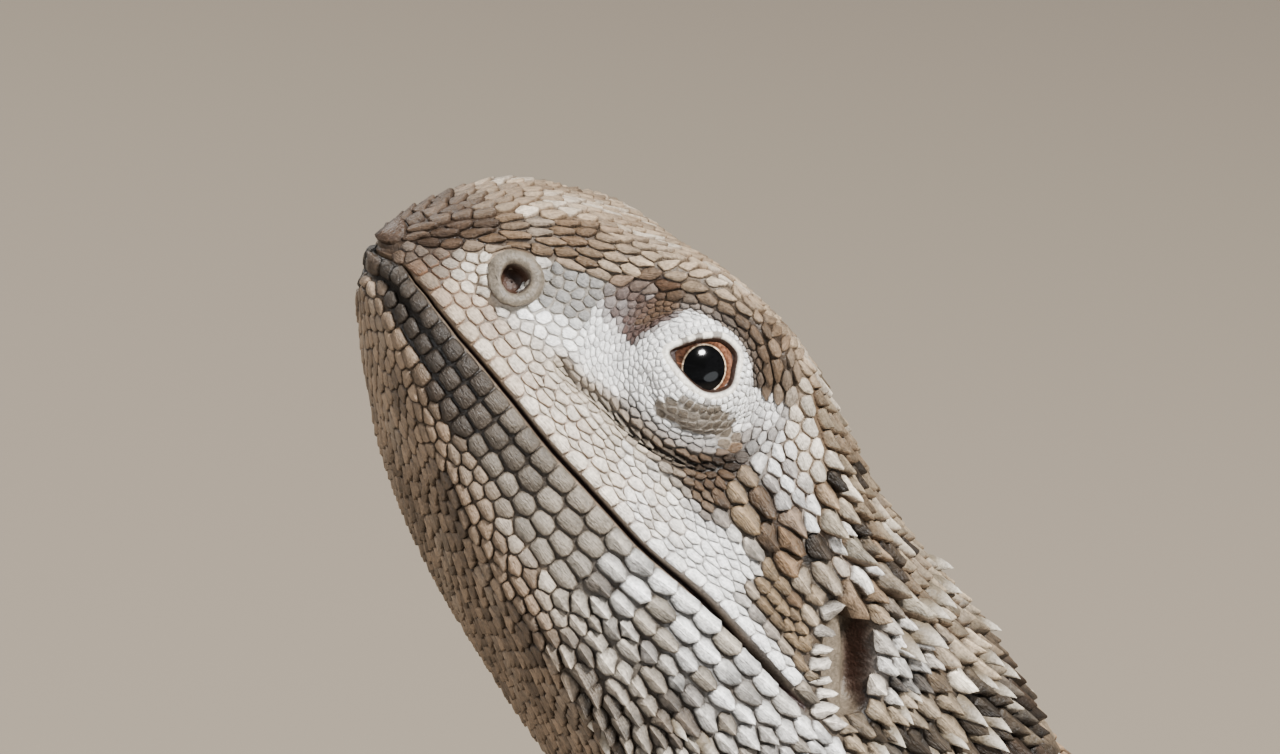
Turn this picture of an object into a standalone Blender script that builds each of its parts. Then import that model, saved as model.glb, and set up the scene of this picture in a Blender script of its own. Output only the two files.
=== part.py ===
"""Bearded dragon, life size: head raised, chest propped on the forelegs, belly and tail on the floor.

Lengths are in millimetres unless a name says otherwise; the meshes are made in metres.
X runs forward, Y to the animal's left and Z up; the origin is on the floor, under the belly's middle.
"""

import math

import bmesh
import bpy
import numpy as np
from mathutils import Matrix, Vector

MM = 0.001
GAP = 0.3

# The head's own frame: a runs back from the snout tip, y to the left, z up from the mouth's plane.
HEAD_LENGTH = 42.0
HEAD_PITCH = math.radians(50.2)
NAPE = np.array([73.0, 0.0, 71.0])

# Each profile gives pairs of (distance behind the snout tip, size).
CROWN_HEIGHT = [
    (0, 1.8), (1.2, 5.5), (4.5, 10.1), (9, 12.9), (14, 14.9), (20, 15.7), (27, 14.8), (34, 13.4), (42, 13.0),
]
CROWN_EDGE = [
    (0, 0), (1.2, 1.9), (4.5, 3.3), (9, 4.6), (14, 6.6), (20, 7.6), (27, 7.4), (34, 7.2), (42, 7.6),
]
CROWN_EDGE_HEIGHT = [
    (0, 1.7), (1.2, 5.2), (4.5, 9.8), (9, 12.7), (14, 15.0), (20, 15.6), (27, 14.4), (34, 12.9), (42, 12.3),
]
BROW_WIDTH = [
    (0, 0), (1.2, 2.4), (4.5, 4.5), (9, 7.3), (14, 10.6), (20, 12.2), (27, 12.1), (34, 11.9), (42, 12.4),
]
BROW_HEIGHT = [
    (0, 1.3), (1.2, 4.2), (4.5, 8.5), (9, 11.8), (14, 14.0), (20, 14.0), (27, 12.0), (34, 10.2), (42, 9.2),
]
SIDE_WIDTH = [
    (0, 0), (1.2, 2.8), (4.5, 5.2), (9, 7.3), (14, 9.3), (20, 11.2), (27, 13.4), (34, 14.2), (42, 14.2),
]
SIDE_HEIGHT = [
    (0, 0.9), (1.2, 2.6), (4.5, 5.6), (9, 8.0), (14, 9.6), (20, 9.6), (27, 8.0), (34, 6.2), (42, 5.2),
]
CHEEK_WIDTH = [
    (0, 0), (1.2, 3.1), (4.5, 5.8), (9, 8.0), (14, 9.9), (20, 11.8), (27, 13.8), (34, 14.8), (42, 15.0),
]
CHEEK_HEIGHT = [
    (0, 0.5), (1.2, 1.4), (4.5, 2.6), (9, 3.4), (14, 3.8), (20, 4.0), (27, 3.8), (34, 3.0), (42, 2.4),
]
LIP_WIDTH = [
    (0, 0), (1.2, 3.3), (4.5, 6.2), (9, 8.5), (14, 10.4), (20, 12.4), (27, 14.4), (34, 15.7), (42, 15.8),
]
MOUTH_HEIGHT = [
    (0, 0), (4.5, -0.3), (9, -0.6), (14, -1.0), (20, -0.9), (27, 0.1), (34, 0.3), (42, -0.2),
]
JAW_WIDTH = [
    (0, 0), (1.2, 2.8), (4.5, 5.6), (9, 8.0), (14, 10.0), (20, 12.4), (27, 15.2), (34, 17.0), (42, 16.8),
]
JAW_HEIGHT = [
    (0, -0.6), (1.2, -1.6), (4.5, -2.6), (9, -3.7), (14, -4.6), (20, -5.0),
    (27, -4.6), (34, -4.2), (42, -4.6),
]
CHIN_WIDTH = [
    (0, 0), (1.2, 1.8), (4.5, 3.7), (9, 5.6), (14, 7.5), (20, 9.8), (27, 12.2), (34, 13.8), (42, 13.8),
]
CHIN_HEIGHT = [
    (0, -1.0), (1.2, -2.3), (4.5, -3.8), (9, -5.8), (14, -7.7), (20, -9.3),
    (27, -10.4), (34, -11.0), (42, -11.2),
]
THROAT_HEIGHT = [
    (0, -1.2), (1.2, -2.6), (4.5, -4.3), (9, -6.6), (14, -8.8), (20, -10.7),
    (27, -12.2), (34, -13.2), (42, -13.8),
]
HEAD_PROFILES = [
    (None, CROWN_HEIGHT),
    (CROWN_EDGE, CROWN_EDGE_HEIGHT),
    (BROW_WIDTH, BROW_HEIGHT),
    (SIDE_WIDTH, SIDE_HEIGHT),
    (CHEEK_WIDTH, CHEEK_HEIGHT),
    (LIP_WIDTH, MOUTH_HEIGHT),
    (JAW_WIDTH, JAW_HEIGHT),
    (CHIN_WIDTH, CHIN_HEIGHT),
    (None, THROAT_HEIGHT),
]
MOUTH_INDEX = 5
CORNERS = 16

EYE_RADIUS = 4.6
EYE_CENTRE = (16.9, 7.3, 9.0)
EYE_AIM = (-0.27, 0.94, 0.20)
# The lids' opening keeps closer to the horizon than the head does: its front corner is turned down.
EYE_ROLL = math.radians(30)
LID_THICKNESS = 0.9
LID_OPENING = (2.45, 1.75)
NOSTRIL_CENTRE = (5.5, 5.6, 5.3)
NOSTRIL_AIM = (-0.35, 0.9, 0.25)
NOSTRIL_RADIUS = 0.85
NASAL_RADIUS = 1.9
EAR_CENTRE = (37.0, 14.4, 4.0)
EAR_LONG = (0.74, 0, -0.67)
EAR_SIZE = (1.6, 2.6, 3.9)

# The trunk's spine, from the vent to the neck's root: (x, y, z, half width, height above, depth below).
SPINE = [
    (-52, 0, 10.6, 12.5, 9.5, 10.2),
    (-40, 0, 12.5, 20.0, 11.5, 13.0),
    (-18, 0, 14.6, 27.0, 13.2, 15.2),
    (8, 0, 16.6, 30.0, 14.8, 16.4),
    (32, 0, 27.5, 26.0, 14.8, 15.8),
    (50, 0, 42.5, 20.5, 13.2, 14.4),
    (60, 0, 54.0, 16.5, 12.2, 13.2),
]
TRUNK_PARTING = 3
TAIL_LENGTH = 226.0
TAIL_ROOT_WIDTH = 12.5
TAIL_TIP_WIDTH = 1.1
TAIL_SWAY = 40.0
TAIL_TURN = 2.6
TAIL_STATIONS = 8
TRUNK_END = TAIL_STATIONS + len(SPINE) - 1
TAIL_TAPER = 1.35
TAIL_HEIGHT = 0.76
TAIL_DEPTH = 0.8
TAIL_PARTS = 5
SINK = 0.3
WELD = 0.01

# Leg joints of the left side, from inside the trunk out to the ankle: (x, y, z, half width, half depth).
FORELEG = [
    (47, 9, 40, 7.4, 7.4),
    (44, 25, 35, 6.6, 6.2),
    (38, 38, 27, 4.9, 4.6),
    (45, 43, 15.5, 4.9, 4.2),
    (54, 44, 3.4, 3.0, 2.7),
]
HIND_LEG = [
    (-40, 8, 12.5, 9.0, 8.0),
    (-31, 28, 14.5, 8.4, 7.4),
    (-18, 45, 15.5, 5.6, 5.4),
    (-29, 55, 10.5, 5.8, 4.8),
    (-41, 61, 3.6, 3.3, 3.0),
]
BEND = 2
LEG_STEPS = 5
# A foot's sections: (distance ahead of the ankle, half width, half height).
FOOT = [
    (-3.4, 1.3, 1.2),
    (-2.2, 2.7, 2.4),
    (0.5, 3.4, 3.0),
    (4.0, 3.9, 2.6),
    (7.0, 4.5, 2.2),
    (9.0, 4.3, 1.8),
]
# Each digit: turn from the foot's heading in degrees, length, and how far aside its root lies.
FINGERS = [(-50, 6.5, -3.0), (-24, 9.5, -1.8), (0, 11.5, 0.0), (24, 11.5, 1.8), (56, 8.0, 3.0)]
TOES = [(-46, 6.0, -3.0), (-24, 9.5, -1.9), (-6, 13.5, -0.4), (10, 18.0, 1.4), (52, 9.0, 2.8)]
FINGER_HEADING = 14.0
TOE_HEADING = 42.0
DIGIT_RADIUS = 1.6
# A digit's sections: (share of its length, share of its radius, height above the floor).
DIGIT = [(-0.12, 1.0, 1.4), (0.35, 0.92, 1.7), (0.7, 0.8, 1.05), (1.0, 0.64, 0.9)]
CLAW_LENGTH = 4.4
CLAW_RADIUS = 0.72
# A claw's sections: (share of its length, shares of its radius across and upright, lift).
CLAW = [(0, 0.8, 0.9, 0), (0.45, 0.62, 0.8, 0.25), (0.8, 0.36, 0.4, -0.1), (1, 0.14, 0.14, -0.45)]
# How far the right feet stand from the left ones' mirror places, so that the stance isn't stiff.
RIGHT_FOREFOOT_SHIFT = np.array([-7.0, 1.5, 0.0])
RIGHT_HINDFOOT_SHIFT = np.array([9.0, -2.0, 0.0])

# Rows of spines on the left side: (first place, last place, how many, length, lift in degrees).
# A place is a distance behind the snout, or a station, and the section's corner counted from the crown.
HEAD_ROWS = [
    ((30.5, 3.4), (38.5, 0.9), 7, 2.6, 40),
    ((25.0, 3.3), (30.0, 3.6), 3, 1.5, 35),
]
JAW_ROWS = [
    ((26.0, 6.2), (40.0, 6.0), 6, 2.4, 32),
    ((24.0, 7.0), (39.5, 7.0), 5, 2.0, 28),
]
NECK_ROWS = [
    ((0.78, 1.4), (0.70, 4.4), 5, 2.8, 42),
    ((0.35, 1.2), (0.35, 5.0), 6, 2.6, 38),
    ((0.72, 5.3), (0.80, 7.5), 4, 2.6, 34),
]
CHEST_ROWS = [
    ((13.7, 1.2), (13.5, 3.4), 4, 2.4, 36),
    ((12.05, 4.5), (11.2, 4.4), 6, 4.4, 36),
]
BELLY_ROWS = [
    ((10.85, 4.4), (10.2, 4.3), 5, 4.4, 36),
]
TAIL_ROWS = [((7.8, 4.0), (6.6, 4.0), 6, 2.6, 30)]
SPINE_RADIUS = 0.42
SPINE_SHOULDER = (0.6, 0.74)
SPINE_SUNK = 0.55
SPINE_ROOT_DEPTH = 0.25
SPINE_SIDES = 5
# A direction that no spine runs along, to turn their sides from.
SPINE_REFERENCE = (0.31, 0.17, 0.94)

RING_POINTS = 28
FINE_RING = 320
LEG_POINTS = 10
HEAD_STATIONS = [0.0, 0.5, 1.7, 3.8, 6.4, 9.4, 12.6, 16.0, 20.0, 24.0, 28.0, 32.5, 37.0, 41.85]


def eased(profile, at, power=0.5):
    """A profile's value at a distance: a smooth curve through its pairs that never swings past them."""
    xs = np.array([p[0] for p in profile], float) ** power
    ys = np.array([p[1] for p in profile], float)
    x = np.clip(np.asarray(at, float), 0, None) ** power
    steps = np.diff(xs)
    slopes = np.diff(ys) / steps
    tangents = np.zeros(len(xs))
    both = slopes[:-1] * slopes[1:] > 0
    mean = np.zeros(len(slopes) - 1)
    mean[both] = 2 / (1 / slopes[:-1][both] + 1 / slopes[1:][both])
    tangents[1:-1] = mean
    tangents[0], tangents[-1] = slopes[0], slopes[-1]
    i = np.clip(np.searchsorted(xs, x, side="right") - 1, 0, len(steps) - 1)
    h = steps[i]
    u = np.clip((x - xs[i]) / h, 0, 1)
    return (
        (1 + 2 * u) * (1 - u) ** 2 * ys[i]
        + u * (1 - u) ** 2 * h * tangents[i]
        + u * u * (3 - 2 * u) * ys[i + 1]
        + u * u * (u - 1) * h * tangents[i + 1]
    )


def catmull_rom(p0, p1, p2, p3, f):
    """The curve between p1 and p2 at a share f, steered by their neighbours."""
    bend = 2 * p0 - 5 * p1 + 4 * p2 - p3
    twist = 3 * p1 - 3 * p2 + p3 - p0
    return 0.5 * (2 * p1 + (p2 - p0) * f + bend * f**2 + twist * f**3)


def closed_curve(points, count, start=0.0, stop=None):
    """Points on a smooth curve round a closed polygon, at even steps of its corners."""
    n = len(points)
    stop = n if stop is None else stop
    u = np.linspace(start, stop, count, endpoint=stop - start < n - 1e-9)
    i = np.floor(u).astype(int)
    f = (u - i)[:, None]
    p0, p1, p2, p3 = (points[(i + k) % n] for k in (-1, 0, 1, 2))
    return catmull_rom(p0, p1, p2, p3, f)


def head_corners(a):
    """The section's corner points (y, z) at a distance behind the snout, from the crown leftwards."""
    left = [(0.0 if w is None else float(eased(w, a)), float(eased(h, a))) for w, h in HEAD_PROFILES]
    right = [(-y, z) for y, z in left[-2:0:-1]]
    return np.array(left + right)


def head_ring(a, count, start=0.0, stop=None):
    flat = closed_curve(head_corners(a), count, start, stop)
    return np.column_stack([np.full(len(flat), a), flat])


def head_to_world(points):
    """From (distance behind the snout, left, up) to the object's frame."""
    p = np.asarray(points, float).reshape(-1, 3)
    c, s = math.cos(HEAD_PITCH), math.sin(HEAD_PITCH)
    ahead = HEAD_LENGTH - p[:, 0]
    return NAPE + np.column_stack([ahead * c - p[:, 2] * s, p[:, 1], ahead * s + p[:, 2] * c])


def head_direction(vector):
    """A direction given as (back, left, up) in the head's frame, in the object's frame."""
    v = head_to_world([vector])[0] - head_to_world([(0, 0, 0)])[0]
    return v / np.linalg.norm(v)


def through(points, u):
    """A smooth curve through points, at positions u counted in points."""
    p = np.asarray(points, float)
    p = np.vstack([2 * p[0] - p[1], p, 2 * p[-1] - p[-2]])
    u = np.clip(np.atleast_1d(u), 0, len(points) - 1)
    i = np.minimum(np.floor(u).astype(int), len(points) - 2)
    f = (u - i)[:, None]
    p0, p1, p2, p3 = (p[i + k] for k in range(4))
    return catmull_rom(p0, p1, p2, p3, f)


def trunk_corners(width, above, below):
    """Corner points (left, up) of a trunk or tail section: broad, low and fuller below."""
    shares = [(0, 1), (0.42, 0.94), (0.72, 0.75), (0.92, 0.42), (1, 0.06)]
    under = [(0.97, 0.3), (0.83, 0.64), (0.5, 0.91), (0, 1)]
    left = [(y * width, z * above) for y, z in shares] + [(y * width, -z * below) for y, z in under]
    return np.array(left + [(-y, z) for y, z in left[-2:0:-1]])


def column_stations():
    """The tail's stations from its tip to its root, then the trunk's."""
    stations = []
    for k in range(TAIL_STATIONS, 0, -1):
        share = k / TAIL_STATIONS
        width = TAIL_TIP_WIDTH + (TAIL_ROOT_WIDTH - TAIL_TIP_WIDTH) * (1 - share) ** TAIL_TAPER
        below = TAIL_DEPTH * width
        along = SPINE[0][0] - TAIL_LENGTH * share
        sway = TAIL_SWAY * math.sin(TAIL_TURN * share) * share
        stations.append((along, sway, below - SINK, width, TAIL_HEIGHT * width, below))
    return np.array(stations + SPINE, float)


def column_ring(u, count):
    """A section of the tail or trunk at a position counted in stations, as (x, y, z)."""
    stations = column_stations()
    here = through(stations, u)[0]
    step = 0.01
    ahead = through(stations, min(u + step, len(stations) - 1))[0]
    behind = through(stations, max(u - step, 0))[0]
    forward = ahead[:3] - behind[:3]
    forward /= np.linalg.norm(forward)
    left = np.cross((0, 0, 1), forward)
    left /= np.linalg.norm(left)
    up = np.cross(forward, left)
    flat = closed_curve(trunk_corners(*here[3:6]), count)
    return here[:3] + flat[:, :1] * left + flat[:, 1:] * up


def column_speed(u):
    stations = column_stations()
    a, b = through(stations, [max(u - 0.01, 0), min(u + 0.01, len(stations) - 1)])[:, :3]
    return np.linalg.norm(b - a) / 0.02


def neck_ring(v, count):
    """A section of the neck, from the trunk's end at v 0 to the back of the head at v 1."""
    last = len(column_stations()) - 1
    root = column_ring(last, count)
    inner = column_ring(last - 0.02, count)
    nape = head_to_world(head_ring(HEAD_LENGTH, count))
    reach = np.linalg.norm(nape.mean(0) - root.mean(0))
    out = root.mean(0) - inner.mean(0)
    out *= reach / np.linalg.norm(out)
    into = head_direction((-1, 0, 0)) * reach
    h1 = (1 + 2 * v) * (1 - v) ** 2
    h2 = v * (1 - v) ** 2
    h3 = v * v * (3 - 2 * v)
    h4 = v * v * (v - 1)
    return root * h1 + out * h2 + nape * h3 + into * h4


def closed_object(name, bm, material=None):
    """An object from a closed mesh, its faces turned outwards and its doubled points welded."""
    bmesh.ops.remove_doubles(bm, verts=bm.verts, dist=WELD * MM)
    bm.normal_update()
    bmesh.ops.recalc_face_normals(bm, faces=bm.faces)
    mesh = bpy.data.meshes.new(name)
    bm.to_mesh(mesh)
    bm.free()
    obj = bpy.data.objects.new(name, mesh)
    model.objects.link(obj)
    if material:
        mesh.materials.append(material)
    mesh.shade_smooth()
    mesh.set_sharp_from_angle(angle=math.radians(45))
    return obj


def loft(name, rings, material=None):
    """A closed mesh through rings of points (mm), all with the same count, each end filled."""
    bm = bmesh.new()
    rows = [[bm.verts.new(Vector(p) * MM) for p in ring] for ring in rings]
    for low, high in zip(rows, rows[1:]):
        for k in range(len(low)):
            j = (k + 1) % len(low)
            bm.faces.new((low[k], low[j], high[j], high[k]))
    bm.faces.new(rows[0][::-1])
    bm.faces.new(rows[-1])
    return closed_object(name, bm, material)


def ellipsoid(name, centre, axes, segments=16, rings=10, material=None):
    """A closed ball; axes are three vectors of its half lengths, in mm."""
    bm = bmesh.new()
    bmesh.ops.create_uvsphere(bm, u_segments=segments, v_segments=rings, radius=1)
    turn = Matrix([[axes[c][r] for c in range(3)] for r in range(3)]).to_4x4()
    bm.transform(Matrix.Diagonal((MM, MM, MM, 1)) @ Matrix.Translation(centre) @ turn)
    return closed_object(name, bm, material)


def largest_body(bm):
    """Keeps a mesh's largest closed surface, so that no scrap or sealed hollow is left."""
    unseen = set(bm.verts)
    bodies = []
    while unseen:
        body, front = set(), [unseen.pop()]
        while front:
            v = front.pop()
            body.add(v)
            for e in v.link_edges:
                w = e.other_vert(v)
                if w in unseen:
                    unseen.discard(w)
                    front.append(w)
        bodies.append(body)
    keep = max(bodies, key=len)
    bmesh.ops.delete(bm, geom=[v for v in bm.verts if v not in keep], context="VERTS")


def applied(obj, operation, others, solver="EXACT"):
    """Applies one Boolean of the object with a collection of closed meshes, which are then removed."""
    tools = bpy.data.collections.new("tools")
    bpy.context.scene.collection.children.link(tools)
    for other in others:
        model.objects.unlink(other)
        tools.objects.link(other)
    boolean = obj.modifiers.new("join", "BOOLEAN")
    boolean.operation = operation
    boolean.operand_type = "COLLECTION"
    boolean.collection = tools
    boolean.solver = solver
    graph = bpy.context.evaluated_depsgraph_get()
    mesh = bpy.data.meshes.new_from_object(obj.evaluated_get(graph))
    obj.modifiers.clear()
    bm = bmesh.new()
    bm.from_mesh(mesh)
    bmesh.ops.triangulate(bm, faces=bm.faces)
    bmesh.ops.dissolve_degenerate(bm, dist=WELD * MM, edges=bm.edges)
    largest_body(bm)
    bm.to_mesh(mesh)
    bm.free()
    obj.data = mesh
    for other in list(tools.objects):
        bpy.data.objects.remove(other)
    bpy.data.collections.remove(tools)
    return obj


def flattened(obj, level=0.0):
    """Cuts away what lies below the floor, so that the object rests on a flat."""
    bm = bmesh.new()
    bm.from_mesh(obj.data)
    cut = bmesh.ops.bisect_plane(
        bm,
        geom=bm.verts[:] + bm.edges[:] + bm.faces[:],
        plane_co=(0, 0, level * MM),
        plane_no=(0, 0, -1),
        clear_outer=True,
    )
    edges = [e for e in cut["geom_cut"] if isinstance(e, bmesh.types.BMEdge)]
    bmesh.ops.holes_fill(bm, edges=edges)
    bmesh.ops.recalc_face_normals(bm, faces=bm.faces)
    bm.to_mesh(obj.data)
    bm.free()
    return obj


def plain_material(name, colour, roughness):
    material = bpy.data.materials.new(name)
    material.use_nodes = True
    shader = material.node_tree.nodes["Principled BSDF"]
    shader.inputs["Base Color"].default_value = (*colour, 1)
    shader.inputs["Roughness"].default_value = roughness
    return material


def mirrored(vector, side):
    return (vector[0], vector[1] * side, vector[2])


def facing(direction, roll=0.0):
    """Three unit vectors in the head's frame: along a direction, across it and upright.

    A roll turns the end of the second that lies towards the snout downwards.
    """
    ahead = np.array(direction, float)
    ahead /= np.linalg.norm(ahead)
    across = np.cross((0, 0, 1), ahead)
    across /= np.linalg.norm(across)
    upright = np.cross(ahead, across)
    turn = math.copysign(roll, across[0])
    c, s = math.cos(turn), math.sin(turn)
    return ahead, across * c + upright * s, upright * c - across * s


def head_ball(name, centre, directions, sizes, segments=16, rings=10, material=None):
    """An ellipsoid in the head's frame."""
    world = [head_direction(d) * s for d, s in zip(directions, sizes)]
    return ellipsoid(name, head_to_world([centre])[0], world, segments, rings, material)


def head_cutters(side):
    """What is hollowed from the head on one side: eye socket, opening of the lids, nostril and ear."""
    aim = facing(mirrored(EYE_AIM, side), EYE_ROLL)
    eye = np.array(mirrored(EYE_CENTRE, side))
    front = eye + aim[0] * EYE_RADIUS
    out = facing(mirrored(NOSTRIL_AIM, side))
    nostril = np.array(mirrored(NOSTRIL_CENTRE, side)) + out[0] * NASAL_RADIUS * 0.5
    ear_long = np.array(EAR_LONG)
    ear_out = np.array((0.0, side, 0.0))
    ear_wide = np.cross(ear_long, ear_out)
    return [
        head_ball("socket", eye, aim, (EYE_RADIUS + GAP,) * 3, 16, 9),
        head_ball("opening", front, aim, (3.0, *LID_OPENING), 14, 8),
        head_ball("nostril", nostril, out, (2.4, NOSTRIL_RADIUS, NOSTRIL_RADIUS), 10, 6),
        head_ball("ear", mirrored(EAR_CENTRE, side), (ear_wide, ear_out, ear_long), EAR_SIZE, 12, 7),
    ]


def curve_place(ring, place):
    """The point of a closed ring at a place counted in corners of its section."""
    return ring[int(round(place / CORNERS * len(ring))) % len(ring)]


def spine_frame(section, station, corner, step):
    """A skin point with the direction out of the skin and the one back along the body."""
    here = curve_place(section(station), corner)
    back = curve_place(section(station - step), corner) - here
    back /= np.linalg.norm(back)
    around = curve_place(section(station), corner + 0.2) - curve_place(section(station), corner - 0.2)
    out = np.cross(around, back)
    out -= back * (out @ back)
    out /= np.linalg.norm(out)
    if out @ (here - section(station).mean(0)) < 0:
        out = -out
    return here, out, back


def spine_places(section, rows, step):
    """The root, tip and length of every spine of the rows, on both sides."""
    for start, stop, count, length, lift in rows:
        for side in (1, -1):
            for k, share in enumerate(np.linspace(0, 1, count)):
                station = start[0] + (stop[0] - start[0]) * share
                corner = start[1] + (stop[1] - start[1]) * share
                corner = corner if side > 0 else CORNERS - corner
                here, out, back = spine_frame(section, station, corner, step)
                size = length * (0.88 + 0.24 * math.sin(1.9 * k + 1.0) ** 2)
                angle = math.radians(lift)
                point = out * math.sin(angle) + back * math.cos(angle)
                root = here - point * size * SPINE_SUNK - out * size * SPINE_ROOT_DEPTH
                yield root, here + point * size, size


def spine_cone(root, tip, size):
    """One tapering spine, its foot sunk in the body."""
    along = tip - root
    along /= np.linalg.norm(along)
    across = np.cross(along, SPINE_REFERENCE)
    across /= np.linalg.norm(across)
    up = np.cross(along, across)
    wide = size * SPINE_RADIUS
    shoulder, narrowed = SPINE_SHOULDER
    turns = np.linspace(0, 2 * math.pi, SPINE_SIDES, endpoint=False)
    rings = []
    for share, width in ((0.0, wide), (shoulder, wide * narrowed), (1.0, WELD / 10)):
        middle = root + (tip - root) * share
        rings.append([middle + width * (math.cos(t) * across + math.sin(t) * up) for t in turns])
    return loft("spine", rings)


def add_spines(obj, section, rows, step=0.05, others=()):
    tools = [spine_cone(root, tip, size) for root, tip, size in spine_places(section, rows, step)]
    return applied(obj, "UNION", tools + list(others))


def build_head(material):
    lips = (CORNERS - MOUTH_INDEX, CORNERS + MOUTH_INDEX)
    rings = [head_to_world(head_ring(a, RING_POINTS - 6, *lips)) for a in HEAD_STATIONS]
    head = loft("head", rings, material)
    mounds = []
    for side in (1, -1):
        aim = facing(mirrored(EYE_AIM, side))
        lid = EYE_RADIUS + LID_THICKNESS
        mounds.append(head_ball("lids", mirrored(EYE_CENTRE, side), aim, (lid, lid, lid * 0.92), 16, 10))
        out = facing(mirrored(NOSTRIL_AIM, side))
        size = (NASAL_RADIUS * 0.65, NASAL_RADIUS, NASAL_RADIUS)
        mounds.append(head_ball("nasal", mirrored(NOSTRIL_CENTRE, side), out, size, 12, 6))
    add_spines(head, head_section, HEAD_ROWS, -0.5, mounds)
    return applied(head, "DIFFERENCE", head_cutters(1) + head_cutters(-1))


def head_section(a):
    return head_to_world(head_ring(a, FINE_RING))


def column_section(u):
    return column_ring(u, FINE_RING)


def neck_section(v):
    return neck_ring(v, FINE_RING)


def build_jaw(material):
    rings = []
    for a in HEAD_STATIONS:
        ring = head_ring(a, RING_POINTS - 10, MOUTH_INDEX, CORNERS - MOUTH_INDEX)
        ring[:, 2] = np.minimum(ring[:, 2], float(eased(MOUTH_HEIGHT, a)) - GAP)
        rings.append(head_to_world(ring))
    return add_spines(loft("lower_jaw", rings, material), head_section, JAW_ROWS, -0.5)


def build_neck(material):
    start, stop = neck_ring(0, 4).mean(0), neck_ring(1, 4).mean(0)
    edge = GAP / 2 / np.linalg.norm(stop - start)
    neck = loft("neck", [neck_ring(v, RING_POINTS) for v in np.linspace(edge, 1 - edge, 7)], material)
    return add_spines(neck, neck_section, NECK_ROWS, 0.05)


def column_piece(name, first, last, count, steps, material, open_ends=(False, False)):
    """A length of the tail or trunk, set back half a gap from each neighbour."""
    low = first if open_ends[0] else first + GAP / 2 / column_speed(first)
    high = last if open_ends[1] else last - GAP / 2 / column_speed(last)
    return loft(name, [column_ring(u, count) for u in np.linspace(low, high, steps)], material)


def trunk_envelope():
    """The trunk, neck and tail root, larger all round by the gap, to trim the legs' roots."""
    rings = [column_ring(u, RING_POINTS) for u in np.linspace(TAIL_STATIONS - 1, TRUNK_END, 24)]
    rings += [neck_ring(v, RING_POINTS) for v in (0.2, 0.4, 0.6, 0.8)]
    grown = []
    for ring in rings:
        away = ring - ring.mean(0)
        grown.append(ring + away / np.linalg.norm(away, axis=1)[:, None] * GAP * 1.3)
    return loft("envelope", grown)


def tangent(stations, u, reach=0.6):
    """The direction of the curve through the stations, over a reach so that it turns gently at a bend."""
    ahead = through(stations, min(u + reach, len(stations) - 1))[0]
    forward = ahead[:3] - through(stations, max(u - reach, 0))[0][:3]
    return forward / np.linalg.norm(forward)


def tube_ring(stations, u, count, reference=(0, 0, 1)):
    here = through(stations, u)[0]
    forward = tangent(stations, u)
    across = np.cross(reference, forward)
    across /= np.linalg.norm(across)
    up = np.cross(forward, across)
    turn = np.linspace(0, 2 * math.pi, count, endpoint=False)[:, None]
    return here[:3] + here[3] * np.cos(turn) * across + here[4] * np.sin(turn) * up


def leg_stations(joints, side, shift):
    """One leg's joints on its own side: the ankle moved by the shift, the joints above it by a share."""
    stations = np.array(joints, float)
    share = np.linspace(0, 1, len(joints))[:, None]
    if side < 0:
        stations[:, :3] += shift * share
        stations[:, 1] *= -1
    return stations


def level_direction(heading, side):
    """A direction along the floor, turned outwards from straight ahead, on its own side."""
    angle = math.radians(heading) * side
    return np.array((math.cos(angle), math.sin(angle), 0))


def foot_rings(ankle, heading, side, grown=0.0):
    ahead = level_direction(heading, side)
    across = np.array((-ahead[1], ahead[0], 0))
    turn = np.linspace(0, 2 * math.pi, LEG_POINTS + 2, endpoint=False)[:, None]
    rings = []
    for distance, width, height in FOOT:
        middle = ankle * (1, 1, 0) + ahead * distance + np.array((0, 0, height - SINK))
        sideways = (width + grown) * np.cos(turn) * across
        rings.append(middle + sideways + (height + grown) * np.sin(turn) * (0, 0, 1))
    rings[0] -= ahead * grown
    rings[-1] += ahead * grown
    return rings


def build_digits(name, ankle, heading, digits, side, horn):
    """The digits as tubes to be joined to their foot, and the claws as objects of their own."""
    tubes = []
    for number, (turn, length, aside) in enumerate(digits, 1):
        ahead = level_direction(heading + turn, side)
        across = level_direction(heading + 90, side)
        knuckle = ankle * (1, 1, 0) + level_direction(heading, side) * (FOOT[-1][0] - 1.5) + across * aside
        r = DIGIT_RADIUS
        path = []
        for share, size, height in DIGIT:
            here = knuckle + ahead * length * share
            path.append((here[0], here[1], height, r * size, r * size))
        tubes.append(loft("digit", [tube_ring(path, u, 6) for u in np.linspace(0, 3, 5)]))
        tip = knuckle + ahead * (length + GAP) + np.array((0, 0, 1.0))
        claw = []
        for share, wide, tall, lift in CLAW:
            here = tip + ahead * CLAW_LENGTH * share + (0, 0, lift)
            claw.append((*here, CLAW_RADIUS * wide, CLAW_RADIUS * tall))
        loft(f"{name}_claw_{number}", [tube_ring(claw, u, 6) for u in np.linspace(0, 3, 5)], horn)
    return tubes


def build_leg(names, joints, side, shift, heading, digits, skin, horn):
    """Two lengths of the leg and its foot; the leg is trimmed where it meets the trunk and the foot."""
    stations = leg_stations(joints, side, shift)
    rings = [tube_ring(stations, u, LEG_POINTS) for u in np.linspace(0, 4, 2 * LEG_STEPS + 1)]
    half_gap = tangent(stations, BEND) * GAP / 2
    upper = loft(names[0], rings[:LEG_STEPS] + [rings[LEG_STEPS] - half_gap], skin)
    applied(upper, "DIFFERENCE", [trunk_envelope()])
    lower = loft(names[1], [rings[LEG_STEPS] + half_gap] + rings[LEG_STEPS + 1 :], skin)
    ankle = stations[-1, :3]
    applied(lower, "DIFFERENCE", [loft("envelope", foot_rings(ankle, heading, side, GAP * 1.3))])
    foot = loft(names[2], foot_rings(ankle, heading, side), skin)
    applied(foot, "UNION", build_digits(names[2], ankle, heading, digits, side, horn))
    flattened(foot)


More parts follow.
